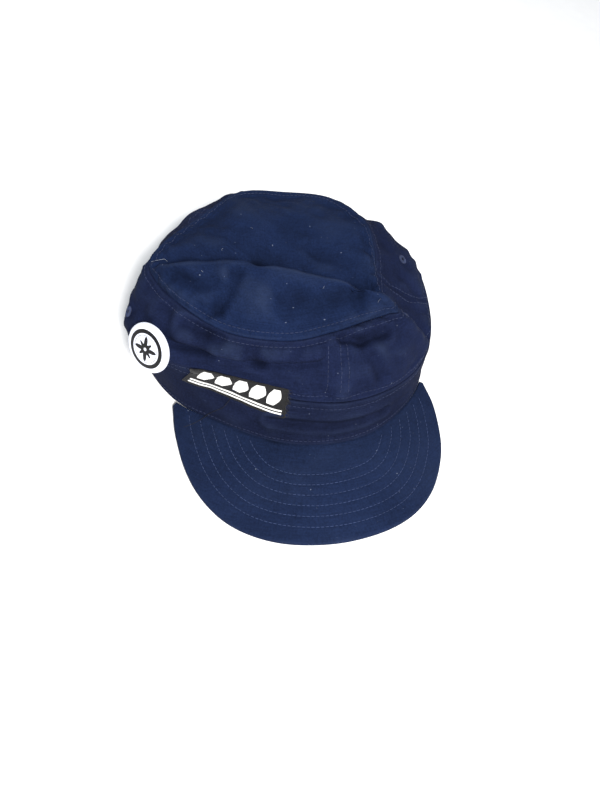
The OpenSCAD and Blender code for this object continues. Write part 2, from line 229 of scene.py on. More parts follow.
class SeamLine:
    """A closely sampled line that knows the gap to it and the length along it."""

    def __init__(self, points):
        self.points = points
        self.along = np.r_[0, np.cumsum(np.linalg.norm(np.diff(points, axis=0), axis=1))]
        self.heading = unit(np.gradient(points, axis=0))

    def near(self, points):
        """Distance to the line and length along it, by the nearest sample and its tangent."""
        flat = points.reshape(-1, points.shape[-1])
        gap, along = np.empty(len(flat)), np.empty(len(flat))
        square = (self.points ** 2).sum(1)
        for part in np.array_split(np.arange(len(flat)), len(flat) // 4000 + 1):
            p = flat[part]
            k = np.argmin(square - 2 * p @ self.points.T, axis=1)
            off = p - self.points[k]
            step = (off * self.heading[k]).sum(1)
            gap[part] = np.linalg.norm(off - step[:, None] * self.heading[k], axis=1)
            along[part] = self.along[k] + step
        return gap.reshape(points.shape[:-1]), along.reshape(points.shape[:-1])


ROUND = np.linspace(0, STATIONS, 1281)
TOP_SEAM = SeamLine(ring(TOP, ROUND))
BAND_SEAM = SeamLine(ring(SEAM, ROUND))
VISOR_EDGE = SeamLine(open_path(EDGE, np.linspace(0, 14, 600)))


# ---------------------------------------------------------------- relief of the cloth
def wander(points, size, seed, waves=14):
    """Smooth random field of about unit height: plane waves in seeded directions."""
    rng = np.random.default_rng(seed)
    heading = unit(rng.normal(size=(waves, 3))) * rng.uniform(0.6, 1.5, (waves, 1))
    phase = rng.uniform(0, TURN, waves)
    return np.sin(points @ heading.T * (TURN / size) + phase).sum(-1) / math.sqrt(waves / 2)


def line_gap(points, line):
    """Distance from each point to the nearest place on a line of straight stretches."""
    best = np.full(points.shape[:-1], 1e9)
    for a, b in zip(line[:-1], line[1:]):
        reach = b - a
        share = np.clip((points - a) @ reach / (reach @ reach), 0, 1)
        best = np.minimum(best, np.linalg.norm(points - a - share[..., None] * reach, axis=-1))
    return best


def folded(points, folds):
    """Folds in the cloth: a valley along each line with a low shoulder on both sides."""
    height = np.zeros(points.shape[:-1])
    for line, half, depth in folds:
        gap = line_gap(points, np.array(line, float)) / half
        height += depth * (0.4 * hill(gap, 1.9, 1) - hill(gap, 0, 1))
    return height


def sewn_edge(gap, rows, width=5.4, height=0.55, lip=1.3):
    """Turned seam allowance: a quarter-round lip at the seam, a flat, then down to the cloth,
    dimpled along its stitch rows."""
    lift = np.sqrt(np.clip(1 - (1 - gap / lip) ** 2, 0, 1)) * (gap < lip) + (gap >= lip)
    level = height * lift * (1 - smooth((gap - width) / 1.6))
    for row in rows:
        level -= 0.34 * hill(gap, row, 0.7)
    return level


def pucker(gap, along, size, phase):
    """Cloth drawn up by a seam: waves along it that fade within about 12 mm."""
    wave = np.sin(TURN * along / size + 2.2 * np.sin(along / 23 + phase) + phase)
    patchy = 0.55 + 0.45 * np.sin(along / 37 + 2 * phase)
    return wave * patchy * smooth(gap / 3) * hill(gap, 0, 8)


# Each fold: its line, its half width and its depth (a swell has a negative depth).
TOP_FOLDS = (
    (((-84, 6, 80), (-72, -1, 80), (-60, -4, 82)), 4.4, 3.6),
    (((-46, 1, 85), (-52, -8, 80), (-60, -17, 75)), 3.8, 3.2),
    (((-70, -13, 75), (-66, -19, 71)), 2.4, 1.2),
    (((-20, -17, 79), (2, -19, 80), (24, -19, 81)), 7.5, 3.4),
    (((25, -14, 84), (27, -26, 74)), 3.2, 1.6),
    (((-42, -14, 79), (-34, -15, 79)), 10.0, -2.0),
    (((-44, 20, 71), (-22, 24, 69), (0, 20, 66)), 7.0, 1.2),
    (((-80, 33, 72), (-50, 30, 72)), 8.0, -1.0),
    (((10, 30, 66), (34, 20, 62)), 5.0, 1.4),
    (((-30, 70, 69), (24, 66, 66)), 13.0, -1.4),
    (((49, 42, 63), (50, 26, 61)), 3.4, 1.2),
)
WALL_FOLDS = (
    (((14, -40, 67), (27, -42, 67), (42, -38, 68)), 3.4, 3.6),
    (((-80, -19, 67), (-71, -25, 66), (-60, -33, 67)), 3.4, 3.4),
    (((-62, -38, 61), (-46, -43, 61)), 5.0, -2.4),
    (((-44, -42, 65), (-38, -47, 60)), 3.2, 2.8),
    (((-21, -49, 62), (-13, -44, 67)), 2.4, 1.5),
    (((26, -44, 66), (33, -53, 60), (38, -60, 50)), 3.8, 2.6),
    (((-101, -14, 60), (-97, -22, 54)), 2.4, -1.3),
    (((-105, -2, 60), (-104, -12, 56)), 4.0, 1.8),
    (((61, -19, 62), (69, -18, 55), (76, -20, 47), (80, -24, 42)), 5.0, 3.2),
    (((60, -33, 66), (68, -35, 57), (75, -37, 47)), 5.5, -2.2),
    (((84, 8, 40), (74, 18, 50)), 4.0, 1.4),
    (((40, -52, 60), (58, -46, 58)), 8.0, -1.2),
    (((78, 50, 48), (70, 40, 55)), 6.0, 1.2),
    (((-60, 80, 50), (-40, 88, 58)), 6.0, 1.3),
    (((20, 92, 48), (30, 84, 58)), 5.0, 1.3),
)
BAND_FOLDS = (
    (((-34, -71, 28), (-16, -76, 28), (6, -79, 27), (28, -76, 26), (44, -70, 24)), 2.6, 3.0),
    (((44, -70, 24), (62, -58, 20)), 2.6, 1.0),
    (((-70, -50, 28), (-52, -60, 24)), 4.0, 1.0),
    (((96, 10, 16), (94, 30, 20)), 5.0, 1.2),
    (((-108, 10, 18), (-104, 30, 14)), 5.0, 1.2),
)
# The wall's upper cloth slumps over a fold: station and share of height along its lip.
LIP_T = (13.2, 13.51, 13.91, 14.29, 14.67, 15.04, 15.47, 15.74, 16.0)
LIP_W = (0.72, 0.72, 0.70, 0.66, 0.65, 0.67, 0.70, 0.72, 0.73)


def wall_length(t):
    """Height of the wall measured along its cloth."""
    mid = ring(WALL, t)
    return (np.linalg.norm(mid - ring(SEAM, t), axis=-1)
            + np.linalg.norm(ring(TOP, t) - mid, axis=-1))


def slump(t, w):
    """Heights out of the wall and down it where the upper cloth hangs over the fold."""
    t = np.mod(t, STATIONS)
    lip = np.mean([np.interp(t + k, LIP_T, LIP_W) for k in (-0.18, -0.09, 0, 0.09, 0.18)], axis=0)
    above = (w - lip) * wall_length(t)
    near = smooth((t - 13.15) / 0.35) * (1 - smooth((t - 15.62) / 0.3))
    deep = 1 + 1.2 * hill(t, 13.65, 0.35)
    out = 3.4 * hill(above, 4, 3.6) - 3.1 * deep * hill(above, -2.6, 3.2)
    down = 2.6 * hill(above, 1.8, 2.6)
    return near * out, near * down


def wall_pace(t, w):
    """Millimetres to one station at a place on the wall."""
    return np.linalg.norm(wall_at(t + 0.02, w) - wall_at(t - 0.02, w), axis=-1) / 0.04


def wear_and_painted_shade(level, gap):
    """Tone of the cloth: paler on raised seams and folds where the cloth is worn, darker along the
    seam line and in low places as painted shade.
    """
    return 0.35 * hill(gap, 1.1, 0.6) - 0.5 * hill(gap, 0, 0.4) + 0.17 * level


def wall_cloth(t, w):
    """Wall with its relief: point, normal and a per-vertex tone at each station and share of
    height; the tone is paler where the cloth is worn and carries painted shade and light round the
    overhang.
    """
    base, out = wall_at(t, w), normal(wall_at, t, w)
    top_gap, top_run = TOP_SEAM.near(base)
    low_gap, low_run = BAND_SEAM.near(base)
    pace = wall_pace(t, w)
    turn = np.mod(t, STATIONS)
    side_gap = np.min([np.abs(turn - seam) for seam in PANEL_SEAMS], axis=0) * pace
    front_gap = np.minimum(turn, STATIONS - turn) * pace
    level = sewn_edge(top_gap, (SEAM_ROW,)) + sewn_edge(low_gap, (SEAM_ROW,))
    level += sewn_edge(side_gap, (PANEL_ROW,), width=3.6, height=0.5) - 0.5
    level -= 0.22 * hill(front_gap, 0, 0.5)
    level += 0.7 * pucker(top_gap, top_run, 8.5, 0.4) + 0.5 * pucker(low_gap, low_run, 10.5, 1.9)
    level += 0.16 * pucker(side_gap, w * 40, 7, 0.8)
    held = smooth((turn - 13.1) / 0.2) * (1 - smooth((turn - 15.2) / 0.2))
    held = held * (1 - smooth((w * wall_length(t) - 9) / 4))
    free = smooth(np.minimum(top_gap, low_gap) / 6) * (1 - held)
    level += free * (0.75 * wander(base, 30, 3) + 0.34 * wander(base, 12, 4))
    level += folded(base, WALL_FOLDS) * smooth(np.minimum(top_gap, low_gap) / 3)
    bulge, drop = slump(t, w)
    hold = smooth(np.minimum(top_gap, low_gap) / 4)
    up = unit(wall_at(t, np.minimum(w + 0.02, 1)) - wall_at(t, np.maximum(w - 0.02, 0)))
    point = base + out * (level + hold * bulge)[..., None] - up * (hold * drop)[..., None]
    # Painted shade: the cloth that hangs down over the fold is darkened.
    wear_and_painted_light = wear_and_painted_shade(level, np.minimum(np.minimum(top_gap, low_gap), side_gap)) - 0.12 * drop
    # Painted light and shade: the swell above the fold is paled and the crease under the overhang
    # darkened.
    return point, out, wear_and_painted_light + 0.09 * bulge


def top_cloth(s, v):
    """Crown top with its relief: point, normal and a per-vertex tone, paler where worn and darkened
    as painted shade in grooves and in the valley behind the ridge.
    """
    base, out = top_at(s, v), top_normal(s, v)
    gap, run = TOP_SEAM.near(base)
    level = sewn_edge(gap, (TOP_ROW,), width=5.9) + 0.75 * pucker(gap, run, 9.5, 2.7)
    free = smooth(gap / 8)
    level += free * (0.75 * wander(base, 36, 7) + 0.32 * wander(base, 13, 8))
    level += folded(base, TOP_FOLDS) * smooth(gap / 3)
    crest = np.linalg.norm(base - open_path(RIDGE, 8 * s), axis=-1)
    sunk = np.linalg.norm(base - open_path(VALLEY, 8 * s), axis=-1)
    wear_and_painted_light = wear_and_painted_shade(level, gap) + 0.5 * hill(crest, 0, 1.3)
    # Painted shade: the cloth is darkened in the valley behind the ridge, where the ridge shades
    # it.
    wear_and_painted_light = wear_and_painted_light - 0.9 * hill(sunk, 0, 13) * smooth(s / 0.3)
    return base + out * level[..., None], out, wear_and_painted_light


def band_cloth(t, v):
    """Head band with its relief: point, normal and a per-vertex tone, paler where worn and darkened
    as painted shade in grooves.
    """
    base, out = band_at(t, v), normal(band_at, t, v)
    gap, run = BAND_SEAM.near(base)
    low = v * np.linalg.norm(ring(SEAM, t) - ring(RIM, t), axis=-1)
    level = sewn_edge(gap, (SEAM_ROW,)) + sewn_edge(low, (HEM_ROW,), width=3.6, height=0.35)
    level += 0.22 * pucker(gap, run, 11, 0.2) + 0.16 * pucker(low, run, 9, 1.1)
    level += smooth(np.minimum(gap, low) / 6) * 0.35 * wander(base, 30, 11)
    level += folded(base, BAND_FOLDS) * smooth(np.minimum(gap, low) / 3)
    return base + out * level[..., None], out, wear_and_painted_shade(level, np.minimum(gap, low))


def visor_rows(count=6, first=10.5, pitch=6.7):
    """Distances of the visor's stitch rows from its edge."""
    return [first + pitch * i for i in range(count)]


def visor_lift(xy):
    """Height of the visor's cloth over its parabola: quilted between rows, slightly wavy."""
    gap, _ = VISOR_EDGE.near(xy)
    flat = np.concatenate([xy, 0 * xy[..., :1]], axis=-1)
    level = 0.22 * wander(flat, 45, 21) + 0.05 * wander(flat, 9, 22)
    for row in visor_rows():
        level = level - 0.22 * hill(gap, row, 0.8)
    return level


def visor_top(xy):
    """Point of the visor's upper cloth over a place in plan."""
    z = visor_height(xy[..., 0]) + visor_lift(xy)
    return np.concatenate([xy, z[..., None]], axis=-1)


# ---------------------------------------------------------------- mesh makers
def add_piece(name, verts, faces, finish, body="cap", uv=None, wear_and_painted_light=None,
              crease=math.radians(42)):
    """Mesh object from vertex and face arrays in millimetres, finished and riding on a body."""
    mesh = bpy.data.meshes.new(name)
    mesh.from_pydata((np.asarray(verts) * MM).tolist(), [], [list(f) for f in faces])
    mesh.update()
    corner = np.empty(len(mesh.loops), dtype=np.int32)
    mesh.loops.foreach_get("vertex_index", corner)
    if uv is not None:
        layer = mesh.uv_layers.new(name="cloth")
        layer.data.foreach_set("uv", np.asarray(uv, np.float32)[corner].ravel())
    # Per-vertex tone for the twill: paling where the cloth is worn, with painted shade and painted
    # light.
    if wear_and_painted_light is not None:
        mesh.attributes.new("wear_and_painted_light", "FLOAT", "POINT").data.foreach_set(
            "value", np.asarray(wear_and_painted_light, np.float32))
    mesh.polygons.foreach_set("use_smooth", np.ones(len(mesh.polygons), dtype=bool))
    mesh.set_sharp_from_angle(angle=crease)
    mesh.materials.append(finish)
    piece = bpy.data.objects.new(name, mesh)
    bpy.context.scene.collection.objects.link(piece)
    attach(piece, body)
    return piece


def sheet_faces(rows, columns, keep=None, loop=False):
    """Faces of a closed sheet: its outer grid, its inner grid after it, and walls round
    every edge where a cell has no neighbour."""
    index = np.arange(rows * columns).reshape(rows, columns)
    if loop:
        index = np.vstack([index, index[:1]])
    a, b, c, d = index[:-1, :-1], index[1:, :-1], index[1:, 1:], index[:-1, 1:]
    keep = np.ones(a.shape, bool) if keep is None else keep
    back = rows * columns
    front = np.stack([a, b, c, d], -1)[keep]
    faces = [front, front[:, ::-1] + back]
    wide = np.pad(keep, 1)
    if loop:
        wide[0], wide[-1] = wide[-2], wide[1]
    sides = ((wide[1:-1, :-2], a, b), (wide[2:, 1:-1], b, c),
             (wide[1:-1, 2:], c, d), (wide[:-2, 1:-1], d, a))
    for beside, p, q in sides:
        edge = keep & ~beside
        p, q = p[edge], q[edge]
        faces.append(np.stack([q, p, p + back, q + back], -1))
    return np.concatenate(faces)


def measure(grid):
    """Length run along both ways of a grid of points, in metres, for cloth coordinates."""
    along = np.cumsum(np.linalg.norm(np.diff(grid, axis=0, prepend=grid[:1]), axis=-1), axis=0)
    across = np.cumsum(np.linalg.norm(np.diff(grid, axis=1, prepend=grid[:, :1]), axis=-1), axis=1)
    middle = along[:, along.shape[1] // 2]
    return np.stack([np.broadcast_to(middle[:, None], across.shape), across], -1) * MM


def two_sided(outer, inner):
    """Vertices of a sheet's two grids, one after the other, and the same cloth coordinates
    for both."""
    verts = np.concatenate([outer.reshape(-1, 3), inner.reshape(-1, 3)])
    return verts, np.tile(measure(outer).reshape(-1, 2), (2, 1))


def as_sheet(node):
    """Hide the frame node that a piece stands for."""
    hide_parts(node)


def cloth_sheet(name, surface, a, b, thick, finish, keep=None,
                node=None):
    """Closed sheet of cloth over a surface, sampled where a and b say, thickened inward."""
    grid = np.meshgrid(a, b, indexing="ij")
    outer, out, wear_and_painted_light = surface(*grid)
    inner = outer - out * thick
    verts, uv = two_sided(outer, inner)
    faces = sheet_faces(*outer.shape[:2], keep=None if keep is None else keep(outer))
    piece = add_piece(name, verts, faces, finish, uv=uv, wear_and_painted_light=np.tile(wear_and_painted_light.ravel(), 2))
    as_sheet(node)


def spread(low, high, count, ends=3.0):
    """Values from low to high that crowd toward both ends."""
    x = np.linspace(-1, 1, count)
    return low + (high - low) * (0.5 + 0.5 * np.sinh(ends * x) / math.sinh(ends))


def dense_ends(low, high, length, edge=7.0, fine=0.45, coarse=1.1):
    """Shares from low to high, finely spaced near both ends of a length in millimetres."""
    near = np.arange(0, edge, fine) / length
    middle = np.linspace(edge / length, 1 - edge / length,
                         max(int((length - 2 * edge) / coarse), 2))
    share = np.concatenate([near, middle, 1 - near[::-1]])
    return low + (high - low) * share


def tube(path, radius, sides=8):
    """Closed tube along a path: rings square to it, its ends drawn to points."""
    ahead = unit(np.gradient(path, axis=0))
    side = unit(np.cross(ahead, [0.21, 0.34, 0.92]))
    rise = np.cross(ahead, side)
    angle = np.arange(sides) * TURN / sides
    radius = np.broadcast_to(radius, len(path))[:, None, None]
    rings = path[:, None] + radius * (side[:, None] * np.cos(angle)[:, None]
                                      + rise[:, None] * np.sin(angle)[:, None])
    verts = np.concatenate([rings.reshape(-1, 3), path[:1], path[-1:]])
    k = np.arange(sides)
    n = (k + 1) % sides
    faces = [[a * sides + p, a * sides + q, (a + 1) * sides + q, (a + 1) * sides + p]
             for a in range(len(path) - 1) for p, q in zip(k, n)]
    first, last = len(verts) - 2, (len(path) - 1) * sides
    faces += [[first, q, p] for p, q in zip(k, n)]
    faces += [[first + 1, last + p, last + q] for p, q in zip(k, n)]
    return verts, faces


def join(parts):
    """One vertex array and face list from several."""
    verts, faces, base = [], [], 0
    for v, f in parts:
        verts.append(v)
        faces += [[i + base for i in face] for face in f]
        base += len(v)
    return np.concatenate(verts), faces


def add_threads(name, tubes, kind):
    """One piece of thread from several tubes."""
    verts, faces = join(tubes)
    add_piece(name, verts, faces, finish(kind), uv=verts[:, :2] * MM)


def frame_at(origin, x, z):
    """Axes of a local frame as columns, with x made square to z."""
    z = unit(z)
    x = unit(x - z * (x @ z))
    return np.stack([x, np.cross(z, x), z]), origin


def wall_frame(t, w, lift):
    """Local frame on the crown wall: x along it, z out of it."""
    t, w = np.array(t), np.array(w)
    z = normal(wall_at, t, w)
    return frame_at(wall_at(t, w) + z * lift, wall_at(t + 0.05, w) - wall_at(t - 0.05, w), z)


def stitches(name, rows, finish, length=2.2, pitch=2.9, radius=0.19, lift=0.12, seed=1,
             slot="thread"):
    """Rows of thread: short rods that rise from the cloth and dive back into it, one for
    each pitch along a row, with slightly uneven place and length."""
    rng = np.random.default_rng(seed)
    sides, rings = 6, 5
    angle = np.arange(sides) * TURN / sides
    x = np.array([-0.5, -0.38, 0, 0.38, 0.5])
    high = np.array([-0.9, 0.15, 0.62, 0.15, -0.9])
    wide = np.array([0.45, 0.95, 1.1, 0.95, 0.45])
    ends = [(-0.5, 0, -1.2), (0.5, 0, -1.2)]
    shape = np.stack([np.repeat(x, sides), np.outer(wide, np.cos(angle)).ravel(),
                      (high[:, None] + np.outer(wide, np.sin(angle))).ravel()], -1)
    shape = np.concatenate([shape, ends])
    k, tip, last = np.arange(sides), sides * rings, sides * (rings - 1)
    n = (k + 1) % sides
    quads = np.concatenate([np.stack([k + sides, n + sides, n, k], -1) + sides * r
                            for r in range(rings - 1)])
    caps = np.concatenate([np.stack([k, n, k * 0 + tip], -1),
                           np.stack([n + last, k + last, k * 0 + tip + 1], -1)])
    verts, quad_list, cap_list, uvs = [], [], [], []
    base = 0
    for points, out in rows:
        run = np.r_[0, np.cumsum(np.linalg.norm(np.diff(points, axis=0), axis=1))]
        at = np.arange(pitch, run[-1] - pitch / 2, pitch)
        if len(at) == 0:
            continue
        at = at + rng.normal(0, 0.05, len(at))
        half = length / 2 * rng.uniform(0.92, 1.06, len(at))
        pick = lambda field, s: np.stack([np.interp(s, run, field[:, i]) for i in range(3)], -1)
        centre, normal_here = pick(points, at), unit(pick(out, at))
        ahead = unit(pick(points, at + half) - pick(points, at - half))
        side = np.cross(normal_here, ahead)
        side = unit(side + 0.06 * rng.normal(size=(len(at), 1)) * ahead)
        local = shape[None] * np.array([1, radius, radius])
        body = (centre[:, None] + ahead[:, None] * local[..., :1] * (2 * half)[:, None, None]
                + side[:, None] * local[..., 1:2]
                + normal_here[:, None] * (local[..., 2:] + lift))
        verts.append(body.reshape(-1, 3))
        shift = base + np.arange(len(at))[:, None, None] * len(shape)
        quad_list.append((quads[None] + shift).reshape(-1, 4))
        cap_list.append((caps[None] + shift).reshape(-1, 3))
        uvs.append(np.tile(np.stack([shape[:, 0] * length, shape[:, 1]], -1) * MM, (len(at), 1)))
        base += len(at) * len(shape)
    faces = [*np.concatenate(quad_list).tolist(), *np.concatenate(cap_list).tolist()]
    return add_piece(name, np.concatenate(verts), faces, finish, uv=np.concatenate(uvs),
                     crease=math.pi)


def surface_row(surface, a, b):
    """A row on a cloth surface through the places a, b: its points and the cloth's normals."""
    a, b = np.broadcast_arrays(np.asarray(a, float), np.asarray(b, float))
    point, out, _ = surface(a, b)
    return point, out


# ---------------------------------------------------------------- finishes
class Shade:
    """Short way to write a node tree: make a node, set its sockets, take its output."""

    def __init__(self, name, colour, roughness, **settings):
        self.material = bpy.data.materials.new(name)
        self.material.use_nodes = True
        self.tree = self.material.node_tree
        self.skin = self.tree.nodes["Principled BSDF"]
        self.set(self.skin, {"Base Color": colour, "Roughness": roughness, **settings})
        self.material.diffuse_color = (*colour[:3], 1)

    def set(self, made, sockets):
        for key, value in sockets.items():
            if isinstance(value, bpy.types.NodeSocket):
                self.tree.links.new(value, made.inputs[key])
            else:
                made.inputs[key].default_value = value

    def node(self, kind, sockets=None, out=0, **settings):
        made = self.tree.nodes.new(kind)
        for key, value in settings.items():
            setattr(made, key, value)
        self.set(made, sockets or {})
        return made.outputs[out]

    def maths(self, operation, a, b=0.0, clamp=False):
        return self.node("ShaderNodeMath", {0: a, 1: b}, operation=operation, use_clamp=clamp)

    def place(self, scale, turn=0.0, uv=True):
        """Cloth coordinates, or the object's own, scaled to cycles per metre."""
        where = (self.node("ShaderNodeUVMap", uv_map="cloth") if uv
                 else self.node("ShaderNodeTexCoord", out="Object"))
        return self.node("ShaderNodeMapping", {"Vector": where, "Scale": scale,
                                               "Rotation": (0, 0, turn)})

    def noise(self, vector, detail):
        return self.node("ShaderNodeTexNoise", {"Vector": vector, "Scale": 1.0,
                                                "Detail": detail, "Roughness": 0.5})

    def grain(self, cycles, detail=2.0):
        """Noise through the object's own space, in cycles per metre."""
        return self.noise(self.place((cycles,) * 3, uv=False), detail)

    def range(self, value, low, high, to_low=0.0, to_high=1.0):
        return self.node("ShaderNodeMapRange", {"Value": value, "From Min": low,
                                                "From Max": high, "To Min": to_low,
                                                "To Max": to_high})

    def mix(self, factor, a, b, blend="MIX"):
        made = self.tree.nodes.new("ShaderNodeMix")
        made.data_type, made.blend_type = "RGBA", blend
        for index, value in ((0, factor), (6, a), (7, b)):
            if isinstance(value, bpy.types.NodeSocket):
                self.tree.links.new(value, made.inputs[index])
            else:
                made.inputs[index].default_value = value
        return made.outputs[2]

    def bump(self, height, depth, strength=1.0):
        self.set(self.skin, {"Normal": self.node("ShaderNodeBump", {
            "Height": height, "Distance": depth, "Strength": strength})})

    def colour(self, socket):
        self.set(self.skin, {"Base Color": socket})


def rgba(colour, gain=1.0):
    """Colour with full alpha, made brighter or darker by a gain."""
    return (*[min(c * gain, 1) for c in colour[:3]], 1)


def twill(name, colour, faded, paling_gain=1.0, lint=0.5):
    """Cotton twill: slubs along both threads, a fine diagonal, clouded dye, worn edges, and painted
    shade and light taken from a per-vertex tone.
    """
    m = Shade(name, rgba(colour), 0.92, **{"Sheen Weight": 0.05, "Sheen Roughness": 0.5,
                                           "Sheen Tint": rgba(faded), "Specular IOR Level": 0.06})
    weft = m.noise(m.place((90, 1150, 1)), 2)
    warp = m.noise(m.place((1250, 120, 1)), 2)
    cloud = m.grain(26, 3)
    grain = m.grain(900, 2)
    rib = m.node("ShaderNodeTexWave", {"Vector": m.place((820, 820, 1), turn=0.86),
                                       "Scale": 1.0, "Distortion": 2.2, "Detail": 1.0})
    tone = m.maths("ADD", m.range(weft, 0.3, 0.7, -0.13, 0.13), m.range(warp, 0.3, 0.7, -0.1, 0.1))
    tone = m.maths("ADD", tone, m.range(cloud, 0.35, 0.65, -0.10, 0.10))
    tone = m.maths("ADD", tone, m.range(grain, 0.3, 0.7, -0.20, 0.20))
    tone = m.maths("ADD", tone, m.range(rib, 0.0, 1.0, -0.06, 0.06))
    # Per-vertex tone: above zero it pales the cloth toward the faded colour (worn seams and crests,
    # and painted light on the visor and on the swell over the wall's overhang); below zero it
    # darkens the cloth as painted shade.
    wear_and_painted_light = m.node("ShaderNodeAttribute", attribute_name="wear_and_painted_light", out="Fac")
    patchy = m.maths("MULTIPLY", wear_and_painted_light, m.range(m.grain(70, 2),
                                               0.35, 0.7, 0.35, 1.25))
    dyed = m.mix(m.range(tone, -0.5, 0.5), rgba(colour, 0.5), rgba(colour, 1.5))
    worn = m.mix(m.maths("MULTIPLY", patchy, 0.55 * paling_gain, clamp=True), dyed, rgba(faded))
    # Painted shade: a below-zero tone darkens the cloth toward a quarter of its dye in grooves,
    # folds, the crown's valley and under the wall's overhang.
    with_painted_shade = m.mix(m.maths("MULTIPLY", patchy, -0.7, clamp=True), worn, rgba(colour, 0.25))
    speck = m.range(m.grain(640, 0), 0.86, 0.90)
    m.colour(m.mix(m.maths("MULTIPLY", speck, lint), with_painted_shade, (0.16, 0.19, 0.26, 1)))
    weave = m.maths("ADD", m.maths("ADD", weft, warp), m.maths("MULTIPLY", rib, 0.5))
    m.bump(m.maths("ADD", weave, grain), 0.00022, 0.6)
    return m.material


def plain_weave(name, colour, roughness=0.8, threads=1400, sheen=0.1):
    """Plain woven cloth or tape: two crossed sets of threads and a soft mottling."""
    m = Shade(name, rgba(colour), roughness, **{"Sheen Weight": sheen,
                                                "Specular IOR Level": 0.25})
    across = m.node("ShaderNodeTexWave", {"Vector": m.place((threads, 1, 1)), "Scale": 0.3})
    along = m.node("ShaderNodeTexWave", {"Vector": m.place((1, threads, 1)), "Scale": 0.3},
                   bands_direction="Y")
    weave = m.maths("MULTIPLY", across, along)
    grain = m.grain(500, 2)
    tone = m.maths("ADD", m.maths("MULTIPLY", weave, 0.3), m.range(grain, 0.3, 0.7, 0.1, 0.6))
    m.colour(m.mix(tone, rgba(colour, 0.65), rgba(colour, 1.35)))
    m.bump(m.maths("ADD", weave, grain), 0.00012, 0.6)
    return m.material


def thread(name, colour):
    """Sewing thread: a two-ply twist along it, with uneven dye."""
    m = Shade(name, rgba(colour), 0.62, **{"Sheen Weight": 0.05, "Specular IOR Level": 0.12})
    twist = m.node("ShaderNodeTexWave", {"Vector": m.place((3200, 700, 1), turn=0.6),
                                         "Scale": 0.3})
    dye = m.grain(160, 1)
    tone = m.maths("ADD", m.maths("MULTIPLY", twist, 0.4), m.range(dye, 0.3, 0.7, 0, 0.6))
    m.colour(m.mix(tone, rgba(colour, 0.6), rgba(colour, 1.4)))
    m.bump(twist, 0.00005, 0.5)
    return m.material


def metal(name, colour, roughness, scuffed=0.3):
    """Pressed or plated metal: fine brushing, scuffs and tarnish in its roughness."""
    m = Shade(name, rgba(colour), roughness, **{"Metallic": 1.0})
    brushed = m.noise(m.place((300, 2600, 900), uv=False), 2)
    tarnish = m.grain(150, 4)
    m.colour(m.mix(m.range(tarnish, 0.45, 0.75), rgba(colour), rgba(colour, 0.55)))
    rough = m.maths("ADD", m.range(brushed, 0.3, 0.7, roughness - 0.06, roughness + 0.1),
                    m.range(tarnish, 0.5, 0.75, 0, scuffed))
    m.set(m.skin, {"Roughness": rough})
    m.bump(brushed, 0.00003, 0.4)
    return m.material


def fibre_board(name, colour):
    """Pressed card or plastic board: short fibres pressed flat."""
    m = Shade(name, rgba(colour), 0.7, **{"Specular IOR Level": 0.3})
    fibre = m.noise(m.place((420, 1500, 600), uv=False), 4)
    m.colour(m.mix(m.range(fibre, 0.3, 0.7), rgba(colour, 0.8), rgba(colour, 1.1)))
    m.bump(fibre, 0.00008, 0.5)
    return m.material


def printed_face(name, paper, ink):
    """Printed paper under clear film: a pale rim, an inked ring and an eight-point star,
    all worked out from the distance and the angle to the middle of the disc."""
    m = Shade(name, rgba(paper), 0.4, **{"Coat Weight": 0.06, "Coat Roughness": 0.2,
                                         "Specular IOR Level": 0.12})
    where = m.node("ShaderNodeUVMap", uv_map="cloth")
    spot = m.node("ShaderNodeSeparateXYZ", {"Vector": where})
    parts = spot.node.outputs
    away = m.node("ShaderNodeVectorMath", {0: where}, out="Value", operation="LENGTH")
    turn = m.maths("ARCTAN2", parts["Y"], parts["X"])
    double = m.maths("MULTIPLY", turn, 2)
    long_arms = m.maths("POWER", m.maths("ABSOLUTE", m.maths("COSINE", double)), 4)
    short_arms = m.maths("POWER", m.maths("ABSOLUTE", m.maths("SINE", double)), 6)
    reach = m.maths("ADD", 0.09, m.maths("ADD", m.maths("MULTIPLY", long_arms, 0.43),
                                         m.maths("MULTIPLY", short_arms, 0.30)))
    star = m.range(m.maths("SUBTRACT", reach, away), -0.006, 0.006)
    band = m.maths("MULTIPLY", m.range(away, 0.62, 0.632), m.range(away, 0.795, 0.783))
    inner = m.maths("MULTIPLY", m.range(away, 0.535, 0.543), m.range(away, 0.562, 0.554))
    hub = m.range(away, 0.07, 0.06)
    inked = m.maths("MAXIMUM", m.maths("MAXIMUM", star, band), inner)
    inked = m.maths("MULTIPLY", inked, m.maths("SUBTRACT", 1.0, hub))
    soil = m.grain(120, 3)
    clean = m.mix(m.range(soil, 0.4, 0.8), rgba(paper), rgba(paper, 0.82))
    m.colour(m.mix(inked, clean, rgba(ink)))
    m.bump(m.grain(260, 1), 0.00004, 0.25)
    return m.material


def table_top(name, colour):
    """Plain pale surface under the cap, with a barely visible grain."""
    m = Shade(name, rgba(colour), 0.9, **{"Specular IOR Level": 0.1})
    grain = m.grain(60, 2)
    m.colour(m.mix(m.range(grain, 0.3, 0.7), rgba(colour, 0.985), rgba(colour, 1.01)))
    return m.material


